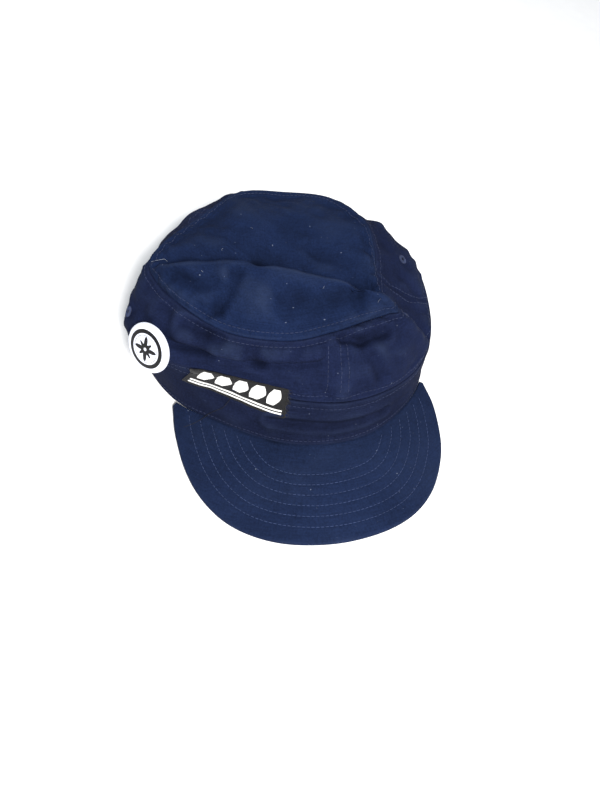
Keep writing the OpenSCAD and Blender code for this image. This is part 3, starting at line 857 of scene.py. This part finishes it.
def finish(kind):
    """The finish of that name, made from the panel's colours when it is first asked for."""
    made = bpy.data.materials.get(kind)
    if made:
        return made
    c = bpy.context.scene.cap_colours
    recipes = {
        "twill_crown": lambda: twill(kind, c.crown, c.faded),
        "twill_top": lambda: twill(kind, c.top, c.faded),
        "twill_visor": lambda: twill(kind, c.visor, c.faded, paling_gain=0.7, lint=0.7),
        "twill_band": lambda: twill(kind, c.band, c.faded, lint=0.3),
        "thread_navy": lambda: thread(kind, c.thread),
        "thread_pale": lambda: thread(kind, c.pale_thread),
        "thread_black": lambda: thread(kind, (0.012, 0.012, 0.014)),
        "thread_white": lambda: thread(kind, (0.30, 0.33, 0.38)),
        "patch_cloth": lambda: plain_weave(kind, (0.006, 0.006, 0.007), 0.75, 1800),
        "patch_figure": lambda: plain_weave(kind, (0.72, 0.76, 0.84), 0.6, 2200, 0.2),
        "lining": lambda: plain_weave(kind, (0.010, 0.011, 0.016), 0.85, 1100),
        "sweat_cloth": lambda: plain_weave(kind, (0.014, 0.017, 0.03), 0.85, 900),
        "size_tag": lambda: plain_weave(kind, (0.62, 0.62, 0.60), 0.6, 2000),
        "board": lambda: fibre_board(kind, (0.55, 0.52, 0.45)),
        "badge_print": lambda: printed_face(kind, (0.80, 0.83, 0.94), (0.010, 0.010, 0.011)),
        "steel": lambda: metal(kind, (0.62, 0.63, 0.65), 0.28),
        "brass": lambda: metal(kind, (0.55, 0.38, 0.16), 0.3),
        "table": lambda: table_top(kind, c.table),
    }
    return recipes[kind]()


# ---------------------------------------------------------------- settings
class CapColours(bpy.types.PropertyGroup):
    """Colours of the cap's cloth and thread, linear. The crown, top, visor and band colours are one
    navy twill made lighter, darker or bluer per part as painted light and shade.
    """

    def tint(name, text, value):
        return FloatVectorProperty(name=name, description=text, default=value, size=3,
                                   min=0, max=1, subtype="COLOR")

    # Painted light and shade: the visor is paler and the top bluer than the crown wall, and the
    # band darker, as the light falls on each part.
    crown: tint("Crown wall", "Dye of the crown's wall", (0.0068, 0.0108, 0.034))
    top: tint("Crown top", "Dye of the crown's top", (0.0060, 0.0125, 0.040))
    visor: tint("Visor", "Dye of the visor's cloth", (0.0078, 0.0145, 0.042))
    band: tint("Band", "Dye of the head band", (0.0064, 0.0096, 0.028))
    faded: tint("Faded", "Cloth where the dye has worn off", (0.027, 0.040, 0.080))
    thread: tint("Thread", "Topstitching of crown and band", (0.024, 0.033, 0.074))
    pale_thread: tint("Visor thread", "Topstitching of the visor", (0.034, 0.052, 0.120))
    table: tint("Table", "Surface that the cap lies on", (0.86, 0.865, 0.87))


class CapStitch(bpy.types.PropertyGroup):
    """Sizes of the topstitching."""

    length: FloatProperty(name="Stitch", description="Length of one stitch", default=2.2 * MM,
                          min=1 * MM, max=6 * MM, unit="LENGTH")
    pitch: FloatProperty(name="Pitch", description="From one stitch to the next",
                         default=2.9 * MM, min=1.2 * MM, max=8 * MM, unit="LENGTH")
    radius: FloatProperty(name="Thread radius", description="Radius of the sewing thread",
                          default=0.16 * MM, min=0.1 * MM, max=0.6 * MM, unit="LENGTH")


class CapStage(bpy.types.PropertyGroup):
    """Lights and camera."""

    key: FloatProperty(name="Key light", description="Power of the soft light from the front",
                       default=26.0, min=0, max=200, unit="POWER")
    fill: FloatProperty(name="Fill light", description="Power of the light from behind",
                        default=5.0, min=0, max=100, unit="POWER")
    sky: FloatProperty(name="Sky", description="Strength of the even light all round",
                       default=0.34, min=0, max=5)
    away: FloatProperty(name="Camera distance", description="From the camera to its target",
                        default=0.419, min=0.1, max=3, unit="LENGTH")


def sewing():
    """Stitch sizes of the panel, in millimetres."""
    s = bpy.context.scene.cap_stitch
    return {"length": s.length / MM, "pitch": s.pitch / MM, "radius": s.radius / MM}


# ---------------------------------------------------------------- pieces
def crown_panel(name, start, end):
    """One crown panel between two seams, with its vents cut through."""
    count = int((end - start) * 38)
    t = spread(start, end, count, 1.6)
    w = dense_ends(0.0, 1.0, 36.0, edge=6.5, fine=0.5, coarse=0.62)
    holes = [wall_frame(*vent, 0)[1] for vent in VENTS]

    def keep(outer):
        cell = (outer[:-1, :-1] + outer[1:, 1:]) / 2
        return np.all([np.linalg.norm(cell - hole, axis=-1) > VENT_REACH for hole in holes], axis=0)

    cloth_sheet(f"{name}_cloth", wall_cloth, t, w, CLOTH, finish("twill_crown"), keep=keep,
                node=name)


class CAP_OT_crown_wall(bpy.types.Operator):
    """Crown wall: four panels from seam to seam, each a relief over the wall surface."""

    bl_idname = "cap.crown_wall"
    bl_label = "Crown wall"
    bl_options = {"REGISTER", "UNDO"}

    def execute(self, context):
        seams = (0.0, *PANEL_SEAMS, float(STATIONS))
        panels = ("crown_front_right", "crown_rear_right", "crown_rear_left", "crown_front_left")
        for panel, start, end in zip(panels, seams[:-1], seams[1:]):
            crown_panel(panel, start, end)
        return {"FINISHED"}


class CAP_OT_crown_top(bpy.types.Operator):
    """Crown top: one cloth folded over a ridge and down into a valley, sewn all round."""

    bl_idname = "cap.crown_top"
    bl_label = "Crown top"
    bl_options = {"REGISTER", "UNDO"}

    def execute(self, context):
        s = spread(0.0, 1.0, 215, 1.2)
        v = dense_ends(0.0, 1.0, 170.0, edge=8.0, fine=0.5, coarse=0.95)
        cloth_sheet("crown_top_cloth", top_cloth, s, v, CLOTH, finish("twill_top"),
                    node="crown_top")
        return {"FINISHED"}


class CAP_OT_head_band(bpy.types.Operator):
    """Head band: a front length and two rear lengths either side of the rear opening."""

    bl_idname = "cap.head_band"
    bl_label = "Head band"
    bl_options = {"REGISTER", "UNDO"}

    def execute(self, context):
        lengths = (("band_front", -4.42, 4.42, 300), ("band_rear_right", 4.42, ARCH_FROM, 95),
                   ("band_rear_left", ARCH_TO, 11.58, 95))
        v = dense_ends(0.0, 1.0, 26.0, edge=6.5, fine=0.5, coarse=0.6)
        for node, start, end, count in lengths:
            cloth_sheet(f"head_{node}", band_cloth, np.linspace(start, end, count), v, 1.5,
                        finish("twill_band"), node=node)
        return {"FINISHED"}


def visor_cover(upper):
    """One visor cover: lines from the band to the edge, then a quarter turn to half depth."""
    lines = np.linspace(0, VISOR_STEPS, 300)
    roll = VISOR_DEPTH / 2
    arc = np.linspace(0, math.pi / 2, 9)
    inner, outer = (p[:, None] for p in visor_ends(lines))
    reach = np.linalg.norm(outer - inner, axis=-1)
    flat = np.linspace(-0.012, 1, 110)[None] * np.maximum(1 - roll / reach, 0.3)
    share = np.concatenate([flat, flat[:, -1:] + (1 - flat[:, -1:]) * np.sin(arc[1:])[None]], 1)
    drop = np.concatenate([0 * flat, roll * (1 - np.cos(arc[1:]))[None] + 0 * flat[:, :1]], 1)
    xy = inner[:, None, 0] + (outer - inner)[:, None, 0] * share[..., None]
    z = visor_height(xy[..., 0])
    if upper:
        z = z + visor_lift(xy) * smooth(1 - drop / roll * 2) - drop
        out = np.array([0, 0, 1.0])
    else:
        gap, _ = VISOR_EDGE.near(xy)
        z = z - VISOR_DEPTH + drop - 0.12 * wander(np.concatenate([xy, z[..., None]], -1), 40, 31)
        for row in visor_rows():
            z = z + 0.2 * hill(gap, row, 0.8) * (drop == 0)
        out = np.array([0, 0, -1.0])
    face = np.concatenate([xy, z[..., None]], -1)
    ahead = unit(np.concatenate([outer - inner, 0 * outer[..., :1]], -1))
    lean = (drop / roll)[..., None]
    inward = unit(out * (1 - lean) + ahead * lean) * COVER
    gap = (1 - share) * reach
    # Painted light: a paler patch on the right of the visor's middle stands for the light falling
    # brightest there.
    painted_light_patch = hill(xy[..., 0], 60, 30) * hill(xy[..., 1], -96, 40)
    wear_and_painted_light = 0.5 * hill(gap, 0, 1.8) + 0.3 * painted_light_patch
    wear_and_painted_light = wear_and_painted_light - 0.7 * hill(share * reach, 0, 0.8) + 0.12 * wander(face, 60, 33)
    if upper:
        face, inward, wear_and_painted_light = face[::-1], inward[::-1], wear_and_painted_light[::-1]
    return face, face - inward, wear_and_painted_light


class CAP_OT_visor(bpy.types.Operator):
    """Visor: an upper and an under cover that meet half way down its edge, over a board."""

    bl_idname = "cap.visor"
    bl_label = "Visor"
    bl_options = {"REGISTER", "UNDO"}

    def execute(self, context):
        for name, node, upper in (("visor_upper_cloth", "visor_top_cover", True),
                                  ("visor_under_cloth", "visor_under_cover", False)):
            outer, inner, wear_and_painted_light = visor_cover(upper)
            verts, uv = two_sided(outer, inner)
            piece = add_piece(name, verts, sheet_faces(*outer.shape[:2]), finish("twill_visor"),
                              uv=uv, wear_and_painted_light=np.tile(wear_and_painted_light.ravel(), 2))
            as_sheet(node)
        dress_node("visor_board", "board")
        return {"FINISHED"}


def dress_node(node, kind):
    """Give a frame node its finish."""
    mesh = bpy.data.objects[node].data
    mesh.materials.clear()
    mesh.materials.append(finish(kind))


def inner_strip(name, cloth, turn_in, a, b, thick, kind, node, seed):
    """Tape or band lying inside the cap: a sheet set in from the cloth, gently waved."""

    def lying(t, v):
        point, out, _ = cloth(t, v)
        level = turn_in - 0.14 * (1 + wander(point, 16, seed))
        return point - out * level[..., None], out, 0.1 * wander(point, 20, seed + 1)

    cloth_sheet(name, lying, a, b, thick, finish(kind), node=node)


class CAP_OT_inside(bpy.types.Operator):
    """Sweatband, size tag and the tapes that cover the seams inside the crown."""

    bl_idname = "cap.inside"
    bl_label = "Inside"
    bl_options = {"REGISTER", "UNDO"}

    def execute(self, context):
        inner_strip("sweatband_cloth", band_cloth, 2.2, np.linspace(-ARCH_FROM, ARCH_FROM, 260),
                    np.linspace(0.05, 0.88, 26), 0.9, "sweat_cloth", "sweatband", 41)
        inner_strip("size_tag_cloth", band_cloth, 3.5, np.linspace(5.4, 6.1, 30),
                    np.linspace(0.3, 0.8, 14), 0.3, "size_tag", "size_tag", 43)
        tapes = (("front_seam_tape", -0.22, 0.22), ("rear_seam_tape", 7.78, 8.22),
                 ("side_seam_tape_right", 4.14, 4.48), ("side_seam_tape_left", 11.26, 11.64))
        for number, (node, start, end) in enumerate(tapes):
            inner_strip(f"{node}_cloth", wall_cloth, 1.9, np.linspace(start, end, 12),
                        np.linspace(0.05, 0.7, 50), 0.45, "lining", node,
                        50 + number)
        inner_strip("top_seam_tape_cloth", wall_cloth, 1.9, np.linspace(0, 15.98, 420),
                    np.linspace(0.74, 0.9, 7), 0.45, "lining", "top_seam_tape", 60)
        return {"FINISHED"}


def share_from(surface, a, mm, upper, edge=0.03, reach=0.02):
    """Share of a surface's height that lies mm from its lower or its upper edge at each a,
    from how fast the surface runs close to that edge."""
    v = np.full_like(a, 1 - edge if upper else edge)
    pace = np.linalg.norm(surface(a, v + reach) - surface(a, v - reach), axis=-1) / (2 * reach)
    return 1 - mm / pace if upper else mm / pace


def row_round(cloth, bare, start, end, mm, upper):
    """Row along a cloth at mm from an edge of the bare surface that it lies on."""
    t = np.arange(start, end, 0.012)
    return surface_row(cloth, t, share_from(bare, t, mm, upper))


def seam_side_rows(seam, gap, low=0.05, high=0.95):
    """Two upright rows either side of a panel seam, a gap in millimetres from it."""
    w = np.linspace(low, high, 160)
    off = gap / wall_pace(seam, w)
    return [surface_row(wall_cloth, seam + side * off, w) for side in (-1, 1)]


class CAP_OT_crown_stitching(bpy.types.Operator):
    """Rows beside the top seam, the band seam, the panel seams and the centre front."""

    bl_idname = "cap.crown_stitching"
    bl_label = "Crown stitching"
    bl_options = {"REGISTER", "UNDO"}

    def execute(self, context):
        s = np.linspace(0.012, 0.985, 900)
        rows = [surface_row(top_cloth, s, share_from(top_at, s, TOP_ROW, rear, 0.015, 0.01))
                for rear in (False, True)]
        rows += [row_round(wall_cloth, wall_at, 0.02, STATIONS, SEAM_ROW, top)
                 for top in (True, False)]
        for seam in PANEL_SEAMS:
            rows += seam_side_rows(seam, PANEL_ROW)
        w = np.linspace(0.16, 0.86, 120)
        rows += [surface_row(wall_cloth, t, w) for t in FRONT_ROWS]
        stitches("crown_stitching", rows, finish("thread_navy"), seed=11, **sewing())
        return {"FINISHED"}


class CAP_OT_band_stitching(bpy.types.Operator):
    """Rows under the band seam and over the visor seam and the hem."""

    bl_idname = "cap.band_stitching"
    bl_label = "Band stitching"
    bl_options = {"REGISTER", "UNDO"}

    def execute(self, context):
        rows = [row_round(band_cloth, band_at, 0.03 - ARCH_FROM, ARCH_FROM, gap, top)
                for gap, top in ((SEAM_ROW, True), (HEM_ROW, False))]
        stitches("band_stitching", rows, finish("thread_navy"), seed=12, **sewing())
        return {"FINISHED"}


class CAP_OT_visor_stitching(bpy.types.Operator):
    """Rows that follow the visor's edge at an even pitch until they run under the band."""

    bl_idname = "cap.visor_stitching"
    bl_label = "Visor stitching"
    bl_options = {"REGISTER", "UNDO"}

    def execute(self, context):
        k = np.linspace(0, VISOR_STEPS, 900)
        edge = open_path(EDGE, k)
        ahead = unit(np.gradient(edge, axis=0))
        inward = np.stack([-ahead[:, 1], ahead[:, 0]], -1)
        rim = ring(RIM, np.linspace(-4, 4, 800))[:, :2]
        rim_turn, rim_reach = np.arctan2(rim[:, 0], -rim[:, 1]), np.linalg.norm(rim, axis=1)
        rows = []
        for gap in visor_rows():
            xy = edge + inward * gap
            turn, reach = np.arctan2(xy[:, 0], -xy[:, 1]), np.linalg.norm(xy, axis=1)
            clear = reach > np.interp(turn, rim_turn, rim_reach) + 2.5
            clear &= VISOR_EDGE.near(xy)[0] > gap - 0.3
            points = visor_top(xy[clear])
            rows.append((points, np.tile([0, 0, 1.0], (len(points), 1))))
        stitches("visor_stitching", rows, finish("thread_pale"), seed=13, lift=0.1, **sewing())
        return {"FINISHED"}


class CAP_OT_vents(bpy.types.Operator):
    """Stitched vents: a ring of thread, ribbed all round, laid over each hole."""

    bl_idname = "cap.vents"
    bl_label = "Vents"
    bl_options = {"REGISTER", "UNDO"}

    def execute(self, context):
        turn, roll = np.meshgrid(np.arange(120) * TURN / 120, np.arange(10) * TURN / 10,
                                 indexing="ij")
        rib = 1 + 0.13 * np.cos(30 * turn)
        wide = 2.35 + 1.05 * rib * np.cos(roll)
        high = 0.75 * rib * np.sin(roll)
        ring_of_thread = np.stack([wide * np.cos(turn), wide * np.sin(turn), high], -1)
        index = np.arange(turn.size).reshape(turn.shape)
        a, b = index, np.roll(index, -1, 0)
        faces = np.stack([a, b, np.roll(b, -1, 1), np.roll(a, -1, 1)], -1).reshape(-1, 4).tolist()
        parts = []
        for t, w in VENTS:
            axes, _ = wall_frame(t, w, 0)
            point, _, _ = wall_cloth(np.array(t), np.array(w))
            parts.append((ring_of_thread.reshape(-1, 3) @ axes + point + axes[2] * 0.15, faces))
        verts, faces = join(parts)
        uv = np.tile(np.stack([turn.ravel() * 2.4, roll.ravel()], -1) * MM, (len(VENTS), 1))
        piece = add_piece("vent_rings", verts, faces, finish("thread_navy"), uv=uv)
        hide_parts("vent_eyelets")
        return {"FINISHED"}


def patch_point(t, high, lift):
    """Point over the band seam at a height in millimetres above it, lifted off the cloth."""
    low = high < 0
    span = np.linalg.norm(ring(SEAM, t) - ring(RIM, t), axis=-1)
    v = np.clip(1 + high / span, 0, 1)
    w = np.clip(high / wall_length(t), 0, 1)
    base = np.where(low[..., None], band_at(t, v), wall_at(t, w))
    blend = smooth((high + 4) / 8)[..., None]
    out = unit(normal(band_at, t, v) * (1 - blend) + normal(wall_at, t, w) * blend)
    dome = 0.5 * hill(high, 0, 4.5) + 0.18 * wander(base, 12, 71)
    return base + out * (lift + dome)[..., None], out


def patch_height(t, q):
    """Height over the band seam at share q of the patch, which leans down to the right."""
    share = (t - PATCH_FROM) / (PATCH_TO - PATCH_FROM)
    return PATCH_LOW + PATCH_TILT * share + PATCH_HIGH * q


def patch_lean(t, q):
    """Station of a place on the patch: its left end leans clear of the badge as it rises."""
    return t + PATCH_LEAN * q * (PATCH_TO - t) / (PATCH_TO - PATCH_FROM)


def patch_sheet(t, q, low, high):
    """Two grids of points over the patch, at a low and a high lift off the cloth."""
    t, q = np.broadcast_arrays(t, q)
    place, rise = patch_lean(t, q), patch_height(t, q)
    upper, _ = patch_point(place, rise, high)
    under, _ = patch_point(place, rise, low)
    return upper, under


class CAP_OT_patch(bpy.types.Operator):
    """Woven patch over the band seam: black cloth, leaning lozenges above a double line,
    edge stitches, and loose ends where its right edge has frayed."""

    bl_idname = "cap.patch"
    bl_label = "Patch"
    bl_options = {"REGISTER", "UNDO"}

    def execute(self, context):
        t, q = np.meshgrid(np.linspace(PATCH_FROM, PATCH_TO, 150), np.linspace(0, 1, 44),
                           indexing="ij")
        fray = 0.012 * wander(np.stack([q * 60, q * 0, q * 0], -1), 7, 75)
        t = t + fray * smooth((t - PATCH_TO + 0.25) / 0.25)
        upper, under = patch_sheet(t, q, 0.75, 1.35)
        verts, uv = two_sided(upper, under)
        piece = add_piece("patch_cloth", verts, sheet_faces(*t.shape), finish("patch_cloth"),
                          uv=uv)
        as_sheet("label_patch")
        self.figures()
        self.edges()
        return {"FINISHED"}

    def figures(self):
        """Five leaning lozenges, wide in the middle, and two thin lines, raised off the patch."""
        parts, uvs = [], []
        for k in range(5):
            middle, half = PATCH_FROM + 0.27 + 0.32 * k, 0.13 + 0.015 * (k % 2)
            i, j = np.meshgrid(np.linspace(-1, 1, 22), np.linspace(0, 1, 20), indexing="ij")
            swell = 0.5 + 0.5 * np.sin(math.pi * j)
            t = middle + i * half * swell + 0.1 * (j - 0.5)
            parts.append(self.raised(t, 0.36 + 0.56 * j, uvs))
        for low in (0.1, 0.2):
            i, j = np.meshgrid(np.linspace(PATCH_FROM + 0.08, PATCH_TO - 0.08, 130),
                               np.linspace(0, 1, 4), indexing="ij")
            parts.append(self.raised(i, low + 0.05 * j, uvs))
        verts, faces = join(parts)
        piece = add_piece("patch_figures", verts, faces, finish("patch_figure"),
                          uv=np.concatenate(uvs))
        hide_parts("label_print")

    def raised(self, t, q, uvs):
        """One raised figure: satin stitch that swells toward its middle."""
        upper, under = patch_sheet(t, q, 1.3, 1.6)
        verts, uv = two_sided(upper, under)
        uvs.append(uv)
        return verts, sheet_faces(*t.shape).tolist()

    def edges(self):
        """Thread round the patch's edge, and short loose ends down its right side."""
        run = np.linspace(0, 1, 200)
        wide = PATCH_FROM + 0.03 + (PATCH_TO - PATCH_FROM - 0.06) * run
        rows = []
        for t, q in ((wide, 0 * run + 0.03), (wide, 0 * run + 0.97),
                     (0 * run + PATCH_FROM + 0.03, run), (0 * run + PATCH_TO - 0.03, run)):
            rows.append(patch_point(patch_lean(t, q), patch_height(t, q), 1.35))
        stitches("patch_stitching", rows, finish("thread_black"), length=1.3, pitch=1.7,
                 radius=0.16, seed=14)
        rng = np.random.default_rng(15)
        parts = []
        for q in np.linspace(0.02, 0.98, 34):
            t = PATCH_TO + np.linspace(-0.02, rng.uniform(0.02, 0.075), 5)
            high = patch_height(t, q + np.linspace(0, rng.normal(0, 0.05), 5))
            lift = 0.9 + np.linspace(0, rng.uniform(-0.2, 0.5), 5)
            parts.append(tube(patch_point(t, high, lift)[0], 0.09, 5))
        add_threads("patch_fray", parts, "thread_black")


class CAP_OT_badge(bpy.types.Operator):
    """Button badge: a printed face turned as one profile that rolls over its shell."""

    bl_idname = "cap.badge"
    bl_label = "Badge"
    bl_options = {"REGISTER", "UNDO"}

    def execute(self, context):
        upright, cloth = wall_frame(*BADGE_AT, 0)
        facing = unit(upright[2] * (1 - BADGE_LEAN) + np.array(BADGE_FACING) * BADGE_LEAN)
        axes, origin = frame_at(cloth + facing * BADGE_LIFT, upright[0], facing)
        reach = np.linspace(0.4, 12.6, 20)
        face = BADGE_H - 0.9 * (reach / 13) ** 2
        roll = np.linspace(math.radians(72), math.radians(-32), 18)[1:]
        reach = np.r_[reach, 13 + 2.9 * np.cos(roll)]
        face = np.r_[face, 1.35 + 2.35 * np.maximum(np.sin(roll), -0.5)]
        inner_reach, inner_face = reach - 0.16 * smooth((reach - 10) / 4), face - 0.16
        turn = np.arange(144) * TURN / 144
        outer, inner = [np.stack([np.outer(np.cos(turn), r), np.outer(np.sin(turn), r),
                                  np.tile(z, (len(turn), 1))], -1)
                        for r, z in ((reach, face), (inner_reach, inner_face))]
        faces = sheet_faces(*outer.shape[:2], loop=True).tolist()
        local, _ = two_sided(outer, inner)
        uv = local[:, :2] / BADGE_R
        verts = local @ axes + origin
        piece = add_piece("badge_face", verts, faces, finish("badge_print"), uv=uv)
        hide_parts("badge_film", "badge_disc")
        for node in ("badge_shell", "badge_back_ring", "badge_pin"):
            dress_node(node, "steel")
        return {"FINISHED"}


class CAP_OT_closure(bpy.types.Operator):
    """Rear closure: the strap across the opening, the tab that holds the buckle, the buckle."""

    bl_idname = "cap.closure"
    bl_label = "Closure"
    bl_options = {"REGISTER", "UNDO"}

    def execute(self, context):
        for name, node, (start, end, low, high), count in (
                ("closure_strap_cloth", "closure_strap", STRAP, 170),
                ("buckle_tab_cloth", "buckle_tab", TAB, 40)):
            def lying(t, v, low=low, high=high):
                point, out = band_at(t, v), normal(band_at, t, v)
                share = (v - low) / (high - low)
                edge = np.minimum(share, 1 - share) * (high - low) * 26
                level = 1.45 - 0.3 * hill(edge, 0, 0.7) - 0.28 * hill(edge, 2, 0.6)
                level += 0.1 * wander(point, 18, 81)
                return point + out * level[..., None], out, 0.5 * hill(edge, 0, 0.8)

            cloth_sheet(name, lying, np.linspace(start, end, count), np.linspace(low, high, 34),
                        1.1, finish("twill_band"), node=node)
        start, end, low, high = STRAP
        t = np.linspace(start + 0.06, end - 0.03, 400)
        rows = []
        for share in (0.15, 0.85):
            v = np.full_like(t, low + (high - low) * share)
            out = normal(band_at, t, v)
            rows.append((band_at(t, v) + out * 1.3, out))
        stitches("strap_stitching", rows, finish("thread_navy"), seed=16, **sewing())
        for node in ("buckle_frame", "buckle_lever"):
            dress_node(node, "brass")
        return {"FINISHED"}


class CAP_OT_loose_threads(bpy.types.Operator):
    """A loose black thread from the patch, a pale thread end and flecks of lint."""

    bl_idname = "cap.loose_threads"
    bl_label = "Loose threads"
    bl_options = {"REGISTER", "UNDO"}

    def execute(self, context):
        knots = [patch_point(np.array(14.2), np.array(-9.0), 1.5)[0]]
        for t, v, lift in ((14.06, 0.42, 1.0), (13.92, 0.26, 0.9), (13.8, 0.12, 0.9)):
            t, v = np.array(t), np.array(v)
            knots.append(band_at(t, v) + normal(band_at, t, v) * lift)
        plan = np.array([(-74, -56), (-80, -58), (-86, -59)], float)
        knots += list(visor_top(plan) + [0, 0, 0.35])
        path = open_path(np.array(knots), np.linspace(0, len(knots) - 1, 60))
        add_threads("loose_thread", [tube(path, 0.14, 6)], "thread_black")
        spots = np.array([(0.025, 0.80), (0.04, 0.72), (0.075, 0.66), (0.085, 0.60)])
        flecks = ((0.53, 0.34, 1.2), (0.30, 0.62, 1.0), (0.72, 0.55, 0.9), (0.22, 0.20, 0.8),
                  (0.62, 0.18, 0.8), (0.40, 0.72, 0.9), (0.84, 0.14, 1.6))
        point, out = surface_row(top_cloth, *spots.T)
        path = open_path(point + out * 0.25, np.linspace(0, len(spots) - 1, 16))
        parts = [tube(path, 0.07, 5)]
        rng = np.random.default_rng(17)
        for s, v, size in flecks:
            point, out = surface_row(top_cloth, s, v)
            ahead = unit(np.cross(out, rng.normal(size=3)))
            path = point + out * 0.2 + np.linspace(-size, size, 6)[:, None] * ahead
            parts.append(tube(path + 0.1 * rng.normal(size=path.shape), 0.045, 5))
        add_threads("lint", parts, "thread_white")
        return {"FINISHED"}


# ---------------------------------------------------------------- stage
VIEW_RIGHT = (0.976, -0.178, 0.129)
VIEW_UP = (0.099, 0.880, 0.464)
VIEW_BACK = (-0.196, -0.440, 0.876)
TARGET = (-0.0049, -0.045, 0.0)
LENS = 27
KEY_AT, KEY_AIM, KEY_SIZE = (0.05, -0.75, 0.95), (0, -0.02, 0.04), 0.26
FILL_AT, FILL_AIM, FILL_SIZE = (-0.3, 0.85, 0.8), (0, 0.0, 0.03), 0.6
FLOOR_REACH = 3.0


def soft_light(name, place, aim, size, power, tint):
    """Square area light at a place, turned toward what it lights."""
    lamp = bpy.data.lights.new(name, "AREA")
    lamp.shape, lamp.size, lamp.energy, lamp.color = "SQUARE", size, power, tint
    lit = bpy.data.objects.new(name, lamp)
    away = unit(np.array(place) - np.array(aim))
    side = unit(np.cross([0, 1, 0.2], away))
    axes = np.stack([side, np.cross(away, side), away, place], 1)
    lit.matrix_world = Matrix([*axes.tolist(), (0, 0, 0, 1)])
    bpy.context.scene.collection.objects.link(lit)


class CAP_OT_stage(bpy.types.Operator):
    """Camera, soft lights and a plain pale floor under the cap's lowest point."""

    bl_idname = "cap.stage"
    bl_label = "Stage"
    bl_options = {"REGISTER", "UNDO"}

    def execute(self, context):
        scene = bpy.context.scene
        rig = scene.cap_rig
        camera = bpy.data.cameras.new("view")
        camera.lens, camera.sensor_width, camera.sensor_fit = LENS, 36, "AUTO"
        camera.clip_start = 0.01
        eye = bpy.data.objects.new("view", camera)
        place = np.array(TARGET) + np.array(VIEW_BACK) * rig.away
        axes = np.stack([unit(np.array(a)) for a in (VIEW_RIGHT, VIEW_UP, VIEW_BACK)] + [place], 1)
        eye.matrix_world = Matrix([*axes.tolist(), (0, 0, 0, 1)])
        scene.collection.objects.link(eye)
        scene.camera = eye
        soft_light("key", KEY_AT, KEY_AIM, KEY_SIZE, rig.key, (1, 0.98, 0.96))
        soft_light("fill", FILL_AT, FILL_AIM, FILL_SIZE, rig.fill, (0.90, 0.95, 1))
        scene.view_settings.view_transform = "Standard"
        world = bpy.data.worlds.new("sky")
        world.use_nodes = True
        back = world.node_tree.nodes["Background"]
        back.inputs["Color"].default_value = (0.93, 0.96, 1, 1)
        back.inputs["Strength"].default_value = rig.sky
        scene.world = world
        low = CAD_BOX[0][2]
        side = FLOOR_REACH
        mesh = bpy.data.meshes.new("floor")
        mesh.from_pydata([(-side, -side, low), (side, -side, low), (side, side, low),
                          (-side, side, low)], [], [(0, 1, 2, 3)])
        mesh.materials.append(finish("table"))
        floor = bpy.data.objects.new("floor", mesh)
        scene.collection.objects.link(floor)
        return {"FINISHED"}


BUILD_ORDER = (CAP_OT_stage, CAP_OT_visor, CAP_OT_head_band, CAP_OT_crown_wall,
               CAP_OT_crown_top, CAP_OT_inside, CAP_OT_crown_stitching, CAP_OT_band_stitching,
               CAP_OT_visor_stitching, CAP_OT_vents, CAP_OT_patch, CAP_OT_badge,
               CAP_OT_closure, CAP_OT_loose_threads)


class CAP_PT_panel(bpy.types.Panel):
    """Colours, stitch sizes, stage and the operators in the order that builds the cap."""

    bl_idname = "CAP_PT_panel"
    bl_label = "Peaked cap"
    bl_space_type = "VIEW_3D"
    bl_region_type = "UI"
    bl_category = "Cap"

    def draw(self, context):
        for group in (context.scene.cap_colours, context.scene.cap_stitch, context.scene.cap_rig):
            box = self.layout.box()
            for key in group.bl_rna.properties.keys():
                if key not in ("rna_type", "name"):
                    box.prop(group, key)
        for operator in BUILD_ORDER:
            self.layout.operator(operator.bl_idname)


CLASSES = (CapColours, CapStitch, CapStage, *BUILD_ORDER, CAP_PT_panel)


def register():
    for cls in CLASSES:
        bpy.utils.register_class(cls)
    bpy.types.Scene.cap_colours = PointerProperty(type=CapColours)
    bpy.types.Scene.cap_stitch = PointerProperty(type=CapStitch)
    bpy.types.Scene.cap_rig = PointerProperty(type=CapStage)


def unregister():
    del bpy.types.Scene.cap_rig, bpy.types.Scene.cap_stitch, bpy.types.Scene.cap_colours
    for cls in reversed(CLASSES):
        bpy.utils.unregister_class(cls)


def main():
    """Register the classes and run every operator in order."""
    register()
    for operator in BUILD_ORDER:
        group, name = operator.bl_idname.split(".")
        getattr(getattr(bpy.ops, group), name)()


if __name__ == "__main__":
    main()
